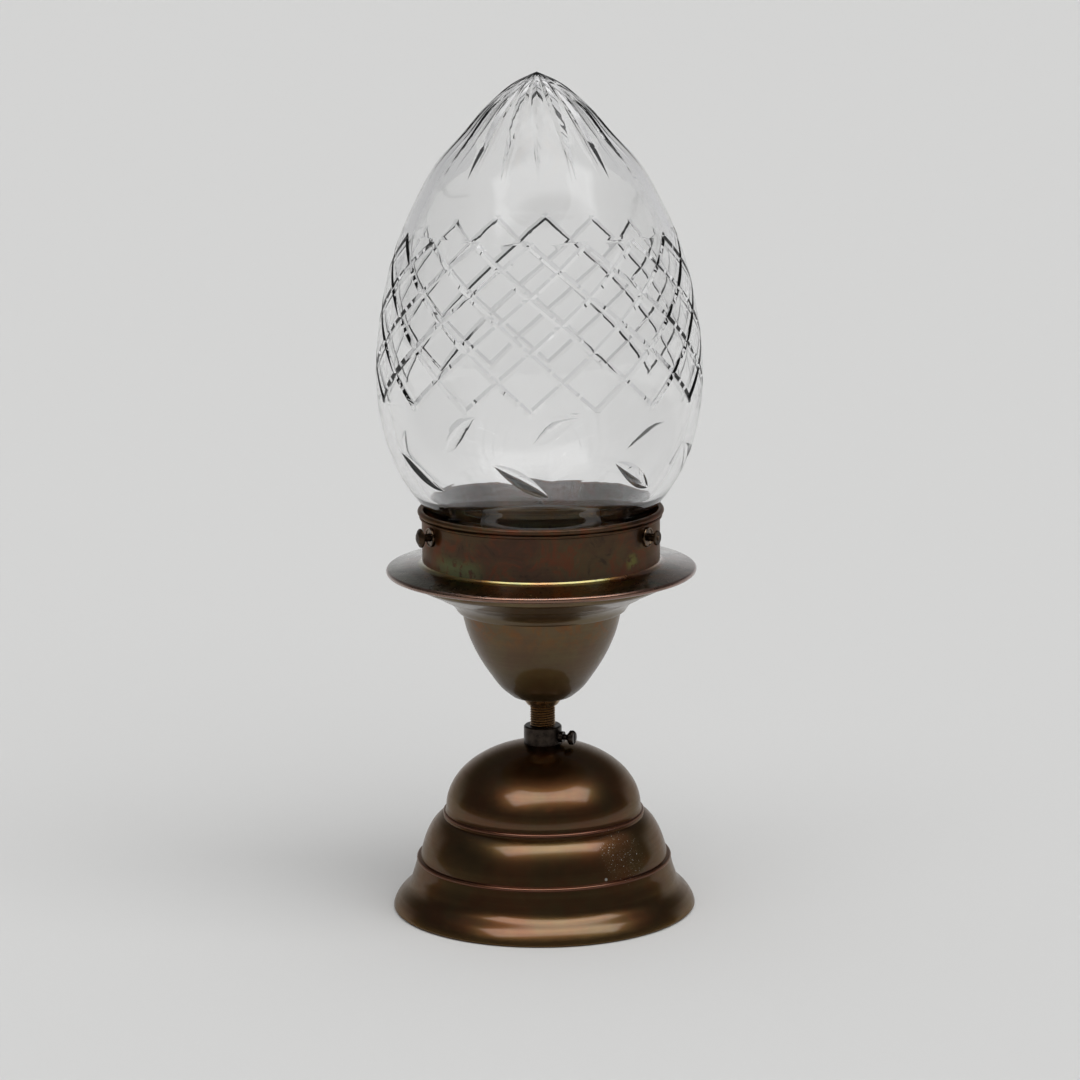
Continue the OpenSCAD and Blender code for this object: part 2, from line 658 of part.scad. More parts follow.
function plain_point(i, j) =
    let (p = plain_path[i], turn = column_turns[j % len(column_turns)])
    [round(p[0] * cos(turn) * 1e4), round(p[0] * sin(turn) * 1e4), round(p[1] * 1e4)] / 1e4;
plain_glass = concat(
    [for (i = [0 : len(plain_path) - 2]) for (j = [0 : len(column_turns) - 1]) each [
        [plain_point(i, j), plain_point(i, j + 1), plain_point(i + 1, j + 1)],
        [plain_point(i, j), plain_point(i + 1, j + 1), plain_point(i + 1, j)]
    ]],
    [for (j = [0 : len(column_turns) - 1])
        [plain_point(len(plain_path) - 1, j), plain_point(len(plain_path) - 1, j + 1), [0, 0, inside_top]]]
);
shade_triangles = concat(
    [for (t = cut_glass) [for (p = faced(t)) on_glass(p)]],
    plain_glass
);
module shade() {
    color(crystal) polyhedron(
        points = [for (t = shade_triangles) each t],
        faces = [for (i = [0 : len(shade_triangles) - 1]) [3 * i, 3 * i + 1, 3 * i + 2]]
    );
}

// Lampholder, from the tube's end up: bush, cap, porcelain insert, shell and skirt
bush_z = cup_z + sheet + washer_t + cup_nut_h + 1.2;
bush_h = 7;
bush_r = 7.6;
bush_flange_r = 9.6;
holder_z = bush_z + 0.4;
insert_z = holder_z + holder_cap_h - 6;
insert_h = 10;
skirt_z = holder_z + holder_cap_h + touch_gap;
insert_top = insert_z + insert_h;
grub_z = bush_z + 4;
grub_r = 1.5;
module holder_bush() {
    color(bright_brass) difference() {
        union() {
            translate([0, 0, bush_z]) cylinder(r = bush_r, h = bush_h);
            translate([0, 0, holder_z + 4.4]) cylinder(r = bush_flange_r, h = 1);
        }
        translate([0, 0, bush_z - 1]) cylinder(r = tube_r + running_gap, h = tube_top - bush_z + 1.2);
        translate([0, 0, bush_z - 1]) cylinder(r = tube_bore_r, h = bush_h + 2);
        translate([0, 0, grub_z]) rotate([90, 0, 0])
            cylinder(r = grub_r + running_gap, h = bush_flange_r + 1);
    }
}
// The grub screw locks the holder on the tube.
module holder_grub_screw() {
    color(steel) translate([0, 0, grub_z]) rotate([90, 0, 0]) slotted(0.6, 0.8, bush_r + 3.4)
        translate([0, 0, tube_r + 0.1]) cylinder(r = grub_r, h = bush_r + 3.3 - tube_r);
}
cap_knots = [
    [holder_z, 10.5], [holder_z + 3, 15], [holder_z + 8, holder_r - 4.6],
    [holder_z + 15, holder_r - 1.2], [holder_z + holder_cap_h, holder_r]
];
module holder_cap() {
    outer = concat([[bush_r + 0.1, holder_z]], curve_points(cap_knots, 12));
    inner = holder_r - holder_wall;
    seat_t = 1.5;
    seat_w = 2.4;
    color(bakelite) difference() {
        union() {
            spun_sheet(outer, holder_wall);
            translate([0, 0, holder_z]) tube(bush_r + 3, bush_r + 0.1, 4.3);
            translate([0, 0, insert_z - seat_t - 0.1]) tube(inner + 0.5, inner - seat_w, seat_t);
        }
        translate([0, 0, grub_z]) rotate([90, 0, 0]) cylinder(r = grub_r + 0.2, h = 30);
    }
}
insert_r = holder_r - holder_wall - 0.9;
clamp_x = 10.6;
clamp_l = 6;
clamp_w = 6;
clamp_h = 4.6;
wire_z = insert_z - clamp_h / 2;
plunger_r = 1.6;
module holder_insert() {
    color(porcelain) difference() {
        union() {
            translate([0, 0, insert_z]) cylinder(r = insert_r, h = insert_h - 3);
            translate([0, 0, insert_z]) cylinder(r = shell_r + 3, h = insert_h);
        }
        translate([0, 0, insert_z - 1]) cylinder(r = plunger_r + running_gap, h = insert_h + 2);
        for (side = [-1, 1])
            translate([0, side * 12, insert_z - 1]) cylinder(r = 1.7, h = insert_h + 2);
    }
}
// Wire clamps: a brass block for each wire, bored for the wire and tapped for its screw
module wire_clamps() {
    color(bright_brass) for (side = [-1, 1]) difference() {
        translate([side > 0 ? clamp_x : -clamp_x - clamp_l, -clamp_w / 2, insert_z - clamp_h])
            cube([clamp_l, clamp_w, clamp_h]);
        translate([side * (clamp_x - 1), 0, wire_z]) rotate([0, side * 90, 0])
            cylinder(r = wire_r + 0.25, h = clamp_l - 0.6);
        translate([side * (clamp_x + 3.6), 0, insert_z - clamp_h - 1]) cylinder(r = 1.25, h = 2.2);
    }
}
module clamp_screws() {
    color(steel) for (side = [-1, 1])
        translate([side * (clamp_x + 3.6), 0, insert_z - clamp_h - 2.4]) difference() {
            union() {
                cylinder(r = 2.1, h = 1.4, $fn = 48);
                cylinder(r = 1.2, h = 3, $fn = 48);
            }
            translate([-3, -0.3, -1]) cube([6, 0.6, 1.6]);
        }
}
shell_taper_h = 5;
module screw_shell() {
    wall = 0.4;
    color(bright_brass) translate([0, 0, insert_top]) rotate_extrude() polygon([
        [8, 0], [shell_r - 2.8, 0], [shell_r + wall, shell_taper_h], [shell_r + wall, shell_h],
        [shell_r, shell_h], [shell_r, shell_taper_h], [shell_r - 3.1, 0.5], [8, 0.5]
    ]);
}
contact_travel = 1.5;
module centre_contact() {
    button_z = insert_top + contact_travel + 0.6;
    color(bright_brass) {
        translate([0, 0, insert_z + 2]) cylinder(r = plunger_r, h = button_z - insert_z - 1.5, $fn = 48);
        translate([0, 0, button_z]) rotate_extrude($fn = 48)
            polygon([[0, 0], [3.6, 0], [3.6, 0.8], [2.6, 1.5], [0, 1.9]]);
    }
}
mouth_r = shell_r + 4.6;
module holder_skirt() {
    h = skirt_h;
    r = holder_r;
    color(bakelite) translate([0, 0, skirt_z]) rotate_extrude() polygon([
        [r - holder_wall, 0], [r, 0], [r, h - 1.6], [r - 0.5, h - 0.5], [r - 1.5, h],
        [mouth_r + 0.6, h], [mouth_r, h - 0.6], [mouth_r, h - 2.6], [r - holder_wall, h - 4]
    ]);
}

// Ceiling strap: its feet lie on the ceiling and its raised middle takes the tube
foot_x = 31;
middle_x = 28;
module ceiling_strap() {
    low = strap_h - strap_t;
    color(steel) difference() {
        translate([0, strap_w / 2, 0]) rotate([90, 0, 0]) linear_extrude(strap_w) polygon([
            [-strap_l / 2, 0], [-foot_x, 0], [-middle_x + strap_t, low], [middle_x - strap_t, low],
            [foot_x, 0], [strap_l / 2, 0], [strap_l / 2, strap_t],
            [foot_x + 0.9, strap_t], [middle_x, strap_h],
            [-middle_x, strap_h], [-foot_x - 0.9, strap_t], [-strap_l / 2, strap_t]
        ]);
        translate([0, 0, low - 1]) cylinder(r = tube_hole_r - 0.1, h = strap_t + 2);
        translate([block_x, 0, low - 1]) cylinder(r = block_screw_r + 0.1, h = strap_t + 2);
        for (side = [-1, 1]) translate([side * slot_x, 0, -1]) {
            for (end = [-1, 1]) translate([end * (slot_l - slot_w) / 2, 0, 0])
                cylinder(r = slot_w / 2, h = strap_t + 2);
            translate([-(slot_l - slot_w) / 2, -slot_w / 2, 0]) cube([slot_l - slot_w, slot_w, strap_t + 2]);
        }
    }
}
module strap_nut() {
    color(thread_brass) translate([0, 0, strap_h]) hex_nut(15, 3.4);
}
module lock_nut() {
    color(thread_brass) translate([0, 0, strap_h - strap_t - 3.2]) hex_nut(15, 3.2);
}

// Terminal block: two poles in porcelain, screwed to the strap
block_x = 18.5;
block_w = 16;
block_l = 18;
block_h = 10;
pole_pitch = 8;
pole_r = 1.6;
block_screw_r = 1.4;
pole_z = strap_h + 4.5;
module terminal_block() {
    color(porcelain) difference() {
        translate([block_x - block_w / 2, -block_l / 2, strap_h]) cube([block_w, block_l, block_h]);
        for (side = [-1, 1]) translate([block_x + side * pole_pitch / 2, 0, pole_z]) {
            rotate([90, 0, 0]) translate([0, 0, -block_l / 2 - 1]) cylinder(r = pole_r, h = block_l + 2);
            for (end = [-1, 1]) translate([0, end * 5, 0]) cylinder(r = 2, h = block_h);
        }
        translate([block_x, 0, strap_h - 1]) cylinder(r = block_screw_r + 0.1, h = block_h + 2);
        translate([block_x, 0, strap_h + block_h - 2.4]) cylinder(r = 2.4, h = 3);
    }
}
module block_screws() {
    color(bright_brass) for (side = [-1, 1]) for (end = [-1, 1])
        translate([block_x + side * pole_pitch / 2, end * 5, pole_z + wire_r + 0.15])
            slotted(0.6, 0.8, 3.6) cylinder(r = 1.8, h = 3.6, $fn = 48);
}
module block_fixing_screw() {
    color(steel) {
        translate([block_x, 0, strap_h - strap_t - 1.5])
            cylinder(r = block_screw_r, h = strap_t + 1.5 + block_h - 2, $fn = 48);
        translate([block_x, 0, strap_h + block_h - 2.3]) slotted(0.6, 0.8, 1.6)
            cylinder(r = 2.2, h = 1.6, $fn = 48);
    }
}

// Wires: each runs from a clamp in the lampholder down the tube and round the strap to the block
wire_sides = 8;
wire_steps = 3;
down_x = 1.5;
function wire_route(side, low_points) = concat(
    [for (p = [[12.6, wire_z], [8.6, wire_z], [5, wire_z - 2], [2.4, wire_z - 6], [1.6, tube_top]])
        [side * p[0], 0, p[1]]],
    [for (i = [1 : 8]) [side * down_x, 0, tube_top + (tube_z + 4 - tube_top) * i / 8]],
    low_points
);
live_low = [[1.5, -0.5, 7.5], [2.5, -4, 2.6], [6, -9, 1.8], [11, -14, 4], [14, -16.5, 11],
    [14.5, -14, 17.4], [14.5, -9.6, 19], [14.5, -6, 19]];
neutral_low = [[-1.5, -0.8, 7.5], [-0.5, -5.5, 2.4], [4, -13, 1.8], [13, -18.5, 3.6], [20.5, -19.5, 10],
    [22.5, -15.5, 17.2], [22.5, -9.6, 19], [22.5, -6, 19]];
function spline_point(a, b, c, d, t) =
    0.5 * (2 * b + t * (c - a) + t * t * (2 * a - 5 * b + 4 * c - d) + t * t * t * (3 * b - a - 3 * c + d));
function smooth_route(p, n) = concat(
    [for (i = [0 : len(p) - 2]) for (s = [0 : n - 1])
        spline_point(p[max(i - 1, 0)], p[i], p[i + 1], p[min(i + 2, len(p) - 1)], s / n)],
    [p[len(p) - 1]]
);
// Sweeps a polygon along a route. Its sides keep to one direction, square to each stretch.
module wire(route, r) {
    p = smooth_route(route, wire_steps);
    last = len(p) - 1;
    rings = [for (i = [0 : last])
        let (
            way = p[min(i + 1, last)] - p[max(i - 1, 0)],
            along = way / norm(way),
            across0 = cross(along, [0.1, 1, 0.05]),
            across = across0 / norm(across0),
            up = cross(across, along)
        )
        for (s = [0 : wire_sides - 1])
            p[i] + r * (cos(360 * s / wire_sides) * across + sin(360 * s / wire_sides) * up)];
    n = wire_sides;
    polyhedron(
        points = rings,
        faces = concat(
            [[for (s = [0 : n - 1]) s]],
            [for (i = [0 : last - 1]) for (s = [0 : n - 1]) each [
                [i * n + s, (i + 1) * n + s, (i + 1) * n + (s + 1) % n],
                [i * n + s, (i + 1) * n + (s + 1) % n, i * n + (s + 1) % n]
            ]],
            [[for (s = [n - 1 : -1 : 0]) last * n + s]]
        )
    );
}
module lead_live() {
    color("#5a2e22") wire(wire_route(1, live_low), wire_r);
}
module lead_neutral() {
    color("#23262b") wire(wire_route(-1, neutral_low), wire_r);
}

canopy();
collar();
collar_screw();
threaded_tube();
cone_nut();
cup();
cup_washer();
cup_nut();
saucer();
brim();
gallery();
screw_bosses();
shade_screw_1();
shade_screw_2();
shade_screw_3();
shade();
holder_bush();
holder_grub_screw();
holder_cap();
holder_insert();
wire_clamps();
clamp_screws();
screw_shell();
centre_contact();
holder_skirt();
ceiling_strap();
strap_nut();
lock_nut();
terminal_block();
block_screws();
block_fixing_screw();
lead_live();
lead_neutral();
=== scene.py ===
# Ceiling lamp: the looks of a cut-glass egg shade in its old brass gallery, standing on its canopy.
# Shapes are worked out in millimetres, in the frame's own axes, and handed to Blender in metres.
import math

import bpy
import numpy as np
from mathutils import Matrix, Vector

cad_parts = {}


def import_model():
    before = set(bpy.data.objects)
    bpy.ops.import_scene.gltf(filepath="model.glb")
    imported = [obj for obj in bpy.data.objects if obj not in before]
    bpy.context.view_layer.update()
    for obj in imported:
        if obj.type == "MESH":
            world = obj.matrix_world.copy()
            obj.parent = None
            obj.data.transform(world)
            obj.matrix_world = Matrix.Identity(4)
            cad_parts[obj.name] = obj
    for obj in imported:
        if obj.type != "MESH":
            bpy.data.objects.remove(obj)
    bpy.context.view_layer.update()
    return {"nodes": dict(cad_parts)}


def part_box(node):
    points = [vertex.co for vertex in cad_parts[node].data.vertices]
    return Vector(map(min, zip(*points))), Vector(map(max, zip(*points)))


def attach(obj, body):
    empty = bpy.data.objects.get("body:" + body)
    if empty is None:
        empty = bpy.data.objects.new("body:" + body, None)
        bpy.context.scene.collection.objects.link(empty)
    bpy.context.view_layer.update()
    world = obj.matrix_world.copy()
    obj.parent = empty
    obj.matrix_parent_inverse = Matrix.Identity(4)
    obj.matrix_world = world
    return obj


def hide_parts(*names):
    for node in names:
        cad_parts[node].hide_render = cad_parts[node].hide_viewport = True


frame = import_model()
MM = 0.001


def heights(node):
    """The lowest and highest z of a node, in millimetres."""
    low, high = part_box(node)
    return low[2] / MM, high[2] / MM


# Sizes, in millimetres, as in the part's source
SHEET = 0.8
CANOPY_R, TIER2_R, DOME_R = 60.0, 49.2, 38.6
TIER3_H, TIER2_H = 20.0, 18.2
CREASE_BEAD_R = 0.8
TUBE_R, TUBE_BORE_R, THREAD_PITCH = 5.0, 3.9, 1.0
COLLAR_R = 7.5
CONE_NUT_R = 8.2
CUP_R, CUP_FLOOR_R = 31.7, 11.4
STEP1_R, STEP2_R, SAUCER_R = 33.3, 41.2, 50.5
STEP1_H, STEP2_H = 6.8, 4.5
BRIM_R, BRIM_ROOT, BRIM_ROOT_DROP, BRIM_DROP, EDGE_R = 60.9, 1.7, 0.45, 2.4, 1.1
GALLERY_R, FLOOR_HOLE_R, RIM_BEAD_R, BEAD2_R, BEAD2_DROP = 46.6, 31.0, 1.2, 0.7, 3.2
SCREW_TURNS, SCREW_LIFT, BOSS_R, BOSS_HOLE_R = (-28.5, 90.0, -156.0), 13.3, 3.9, 1.55
NECK_R, LIP_R, LIP_H, GLASS, GLASS_TIP, THIN_FROM = 39.6, 42.5, 5.6, 4.0, 1.8, 24.0
STAR_RAYS, DIAMONDS, OLIVES = 18, 16, 8
CUT_DEPTH, OLIVE_LEN, OLIVE_W = 0.6, 24.0, 6.4

# The soft panel that the metal and the glass mirror: its direction in degrees, half sizes and light
PANEL_TURN, PANEL_LIFT, PANEL_HALF, PANEL_LIGHT, PANEL_IN_METAL = 11, 67, (0.8, 0.24), 1.0, 3.2
ROOM_LIGHT = 0.09

# Heights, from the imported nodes
_, CANOPY_TOP = heights("canopy")
TUBE_Z, TUBE_TOP = heights("threaded_tube")
NUT_Z, CUP_Z = heights("cone_nut")
SAUCER_Z, SAUCER_TOP = heights("saucer")
FLOOR_TOP, GALLERY_TOP = heights("gallery")
LIP_Z, TIP_Z = heights("shade")
CREASE2_Z = TIER3_H
CREASE1_Z = TIER3_H + TIER2_H
DOME_H = CANOPY_TOP - CREASE1_Z
CUP_TOP = SAUCER_Z + SHEET
CUP_H = CUP_TOP - CUP_Z
STEP2_Z = SAUCER_Z + STEP1_H
RIM_Z = STEP2_Z + STEP2_H
FLOOR_Z = FLOOR_TOP - SHEET
SHADE_H = TIP_Z - LIP_Z
SHADE_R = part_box("shade")[1][0] / MM


# ---- Shapes: each is an array of triangles [count, 3 corners, 3], counter-clockwise from outside ----

def curve(knots, z):
    """Radius at heights z: cubics between knots [z, r], whose slope at a knot is the mean of the
    rises beside it, each weighted by the length of the other stretch."""
    k = np.asarray(knots, float)
    length = np.diff(k[:, 0])
    rise = np.diff(k[:, 1]) / length
    slope = np.r_[rise[0], (length[1:] * rise[:-1] + length[:-1] * rise[1:]) / (length[1:] + length[:-1]), rise[-1]]
    i = np.clip(np.searchsorted(k[:, 0], z, side="right") - 1, 0, len(k) - 2)
    t = (z - k[i, 0]) / length[i]
    a, b, p, q = k[i, 1], k[i + 1, 1], length[i] * slope[i], length[i] * slope[i + 1]
    return a + t * (p + t * (3 * (b - a) - 2 * p - q + t * (2 * (a - b) + p + q)))


def curve_path(knots, steps):
    """Points [r, z] along a curve, at even heights."""
    z = np.linspace(knots[0][0], knots[-1][0], steps + 1)
    return np.c_[curve(knots, z), z]


def arc(r, z, radius, start, end, steps=14):
    """Points [r, z] on a circle round [r, z], from one angle to another in degrees."""
    w = np.radians(np.linspace(start, end, steps + 1))
    return np.c_[r + radius * np.cos(w), z + radius * np.sin(w)]


def rounded(path, reach, steps=4):
    """Cuts each inner corner of a path: a parabola joins points `reach` before and after it."""
    path = np.asarray(path, float)
    before, corner, after = path[:-2], path[1:-1], path[2:]
    t = np.linspace(0, 1, steps + 1)[None, :, None]

    def towards(other):
        gap = np.linalg.norm(other - corner, axis=1, keepdims=True)
        return corner + (other - corner) * np.minimum(reach / gap, 0.5)

    a, c = towards(before)[:, None], towards(after)[:, None]
    bends = a * (1 - t) ** 2 + corner[:, None] * 2 * t * (1 - t) + c * t ** 2
    return np.r_[path[:1], bends.reshape(-1, 2), path[-1:]]


def shifted(path, t):
    """A path moved to its left by t, square to the mean of the stretches that meet at each point."""
    step = np.diff(path, axis=0)
    left = np.c_[-step[:, 1], step[:, 0]] / np.linalg.norm(step, axis=1, keepdims=True)
    mid = np.r_[left[:1], left] + np.r_[left, left[-1:]]
    return path + mid * (2 * t / (mid * mid).sum(1, keepdims=True))


def beaded(path, r, z, radius):
    """A rising path with a bead: the circle's points that stand outside the path take its place."""
    bead = arc(r, z, radius, -90, 90, 24)
    bead = bead[bead[:, 0] > np.interp(bead[:, 1], path[:, 1], path[:, 0])]
    return np.r_[path[path[:, 1] < bead[0, 1]], bead, path[path[:, 1] > bead[-1, 1]]]


def sheet_outline(path, face=None):
    """The closed outline of a sheet: its outer face `face`, and its path moved inwards by the sheet."""
    return np.r_[path if face is None else face, shifted(path, SHEET)[::-1]]


def grid_triangles(points, closed=(False, False)):
    """Triangles over a grid of points [rows, columns, 3]: two to each cell."""
    for axis in (0, 1):
        if closed[axis]:
            points = np.concatenate([points, np.take(points, [0], axis)], axis)
    a, b, c, d = points[:-1, :-1], points[:-1, 1:], points[1:, 1:], points[1:, :-1]
    return np.concatenate([np.stack([a, b, c], -2), np.stack([a, c, d], -2)]).reshape(-1, 3, 3)


def turned(outline, columns=240, first_turn=0.0, closed=True):
    """A closed outline [r, z], counter-clockwise, turned round the Z axis."""
    w = np.radians(first_turn) + 2 * np.pi * np.arange(columns) / columns
    r, z = np.asarray(outline)[:, 0, None], np.asarray(outline)[:, 1, None]
    return grid_triangles(np.stack([r * np.cos(w), r * np.sin(w), z + 0 * w], -1), (closed, True))


def piece(name, triangles, body, slot, finish, *nodes, crease=24):
    """Welds triangles into one smooth mesh with sharp creases, and puts it on its body."""
    points, index = np.unique(np.round(triangles.reshape(-1, 3), 3), axis=0, return_inverse=True)
    faces = index.reshape(-1, 3)
    whole = (faces != np.roll(faces, 1, axis=1)).all(axis=1)
    mesh = bpy.data.meshes.new(name)
    mesh.from_pydata((points * MM).tolist(), [], faces[whole].tolist())
    mesh.shade_smooth()
    mesh.set_sharp_from_angle(angle=math.radians(crease))
    mesh.materials.append(finish)
    made = bpy.data.objects.new(name, mesh)
    bpy.context.scene.collection.objects.link(made)
    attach(made, body)
    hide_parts(*nodes)
    return made


# ---- Cut-glass shade: its outside is triangles whose corners are [turn, height, depth of cut] ----

SHADE_KNOTS = np.array([
    [LIP_Z + 7.4, NECK_R], [LIP_Z + 13.6, NECK_R + 0.3], [LIP_Z + 17.2, NECK_R + 2.3],
    [LIP_Z + 25.2, NECK_R + 9.2],
    *([LIP_Z + share * SHADE_H, SHADE_R * width] for share, width in (
        (0.18, 0.862), (0.238, 0.935), (0.301, 0.98), (0.379, 1), (0.448, 0.991), (0.522, 0.961),
        (0.595, 0.915), (0.669, 0.844), (0.742, 0.745), (0.816, 0.617), (0.879, 0.449),
        (0.942, 0.275), (0.991, 0.066), (1, 0))),
])
STAR_TURN, LATTICE_TURN, OLIVE_TURN = -89.6, -93.4, -97.0
STAR_END_Z, STAR_WIDE_Z = LIP_Z + 0.8 * SHADE_H, LIP_Z + 0.9 * SHADE_H
STAR_TOP_Z, STAR_STEPS = TIP_Z - 2, 10
RAY_HALF_W, RAY_MAX_SHARE = 2.2, 0.8
LATTICE_Z, HALF_TURN = LIP_Z + 0.679 * SHADE_H, 180 / DIAMONDS
ROW_PITCH, ROW_GROWTH, LAST_ROW = 9.1, 0.19, 6
INSET, GROOVE_RUN, EDGE_MARGIN = 0.165, 0.14, 0.5
OLIVE_Z, OLIVE_SLOPE, OLIVE_MARGIN, OLIVE_SLIVER = LIP_Z + 0.2148 * SHADE_H, 33.0, 3.2, 0.25
SPLITS = 4
CAD_OLIVE_COLUMNS = 6


def shade_slope(z):
    """Change of the shade's radius with height."""
    low, high = np.maximum(z - 0.2, SHADE_KNOTS[0, 0]), np.minimum(z + 0.2, TIP_Z)
    return (curve(SHADE_KNOTS, high) - curve(SHADE_KNOTS, low)) / (high - low)


def on_glass(points):
    """Places [turn, height, depth] in space. The depth goes into the glass square to its surface."""
    turn, z, depth = np.moveaxis(points, -1, 0)
    tilt = shade_slope(z)
    along = np.sqrt(1 + tilt * tilt)
    tip = z > TIP_Z - 0.01
    r = np.where(tip, 0, curve(SHADE_KNOTS, z) - depth / along)
    w = np.radians(turn)
    return np.stack([r * np.cos(w), r * np.sin(w), np.where(tip, TIP_Z, z + depth * tilt / along)], -1)


def faced(triangles):
    """Triangles in [turn, height] with their corners put counter-clockwise."""
    a, b = triangles[:, 1] - triangles[:, 0], triangles[:, 2] - triangles[:, 0]
    backwards = a[:, 0] * b[:, 1] - a[:, 1] * b[:, 0] < 0
    triangles[backwards] = triangles[backwards][:, ::-1]
    return triangles


def divided(triangles, n):
    """Cuts each triangle into n * n: the new points are its corners weighted by (i, j, n-i-j) / n."""
    i, j = np.mgrid[:n + 1, :n + 1]
    used = i + j <= n
    weights = np.stack([i, j, n - i - j], -1)[used] / n
    index = np.full((n + 1, n + 1), -1)
    index[used] = np.arange(used.sum())
    up = [(index[a, b], index[a + 1, b], index[a, b + 1]) for a in range(n) for b in range(n - a)]
    down = [(index[a + 1, b], index[a + 1, b + 1], index[a, b + 1]) for a in range(n) for b in range(n - a - 1)]
    points = np.einsum("pc,mcd->mpd", weights, triangles)
    return points[:, np.array(up + down)].reshape(-1, 3, 3)


def ring(columns, turn, z):
    """Even points round the glass at one height, the last a whole turn on from the first."""
    j = np.arange(columns + 1)
    return np.stack([turn + 360 * j / columns, z + 0 * j, 0 * j], -1)


def skin(rows):
    """Joins rows of points [rows, columns, 3] that have one column count, and closes them round."""
    rows = np.asarray(rows, float)
    return grid_triangles(np.concatenate([rows, rows[:, :1] + [360, 0, 0]], 1))


def zipped(a, b):
    """Joins two rings of any counts: each edge of one meets the nearest point of the other."""
    n, m = len(a) - 1, len(b) - 1
    i, k = np.arange(n), np.arange(m)

    def at(points, index):
        count = len(points) - 1
        return points[index % count] + np.outer(index // count, [360, 0, 0])

    to_b = at(b, ((2 * i + 1) * m + n) // (2 * n))
    to_a = at(a, -((m - (2 * k + 1) * n) // (2 * m)))
    return np.concatenate([np.stack([a[:-1], a[1:], to_b], 1), np.stack([b[:-1], b[1:], to_a], 1)])


def begun_at(columns, first, turn, z):
    """A ring begun at the column nearest to a turn."""
    step = 360 / columns
    return ring(columns, first + step * round((turn - first) / step), z)


def star():
    """Grooves from the tip: each is widest half way down and ends in a point."""
    z = np.linspace(STAR_TOP_Z, STAR_END_Z, STAR_STEPS + 1)
    radius = curve(SHADE_KNOTS, z)
    width = RAY_HALF_W * np.minimum(1, (z - STAR_END_Z) / (STAR_WIDE_Z - STAR_END_Z))
    half = np.degrees(np.arcsin(np.minimum(1, width / np.maximum(1, radius))))
    half = np.clip(half, 0.06, RAY_MAX_SHARE * 180 / STAR_RAYS)
    depth = np.minimum(CUT_DEPTH * 1.3, 0.75 * radius * np.sin(np.radians(half))) * (z > STAR_END_Z + 0.01)
    centre = STAR_TURN + 360 * np.arange(STAR_RAYS) / STAR_RAYS
    step = 180 / STAR_RAYS
    turns = centre[None, :, None] + np.stack([0 * half, half, 0 * half + step, 2 * step - half], -1)[:, None]
    depths = np.zeros_like(turns)
    depths[:, :, 0] = depth[:, None]
    rows = np.stack([turns, z[:, None, None] + 0 * turns, depths], -1).reshape(len(z), -1, 3)
    return rows


def star_fan(row):
    """Triangles from the tip to the divided top row of the star."""
    around = np.concatenate([row, row[:1] + [360, 0, 0]])
    share = np.arange(SPLITS)[None, :, None] / SPLITS
    fine = (around[:-1, None] * (1 - share) + around[1:, None] * share).reshape(-1, 3)
    fine = np.concatenate([fine, around[-1:]])
    tip = fine[:-1] * [1, 0, 0] + [0, TIP_Z, 0]
    return np.stack([tip, fine[:-1], fine[1:]], 1)


COMPASS = np.array([[0, -1], [1, 0], [0, 1], [-1, 0]])


def lattice_corner(place, depth=0.0):
    """A corner [a, b, depth]: a counts half diamonds round the glass, b counts rows down."""
    return [place[0], place[1], depth]


def row_z(b):
    """Height of row b: each row is a little taller than the one above it."""
    return LATTICE_Z - b * (ROW_PITCH + ROW_GROWTH * b)


def diamond_edge(k):
    """One edge of the diamond round [0, 0]: two flank strips and two slices of its flat face."""
    n0, n1 = COMPASS[k], COMPASS[(k + 1) % 4]
    i0, i1 = n0 * (1 - INSET), n1 * (1 - INSET)
    groove0, groove1 = lattice_corner(n0, CUT_DEPTH), lattice_corner(n1, CUT_DEPTH)
    groove_mid = lattice_corner((n0 + n1) / 2, CUT_DEPTH)
    in0, in1, in_mid = lattice_corner(i0), lattice_corner(i1), lattice_corner((i0 + i1) / 2)
    centre = lattice_corner((0, 0))
    return [[groove0, groove_mid, in_mid], [groove0, in_mid, in0], [groove_mid, groove1, in1],
            [groove_mid, in1, in_mid], [centre, in0, in_mid], [centre, in_mid, in1]]


def repeated(motif, centres):
    """Copies of a motif's triangles at lattice centres [a, b], in [turn, height, depth]."""
    moved = np.asarray(motif, float)[None] + np.c_[centres, np.zeros(len(centres))][:, None, None]
    a, b, depth = np.moveaxis(moved.reshape(-1, 3, 3), -1, 0)
    return np.stack([LATTICE_TURN + HALF_TURN * a, row_z(b), depth], -1)


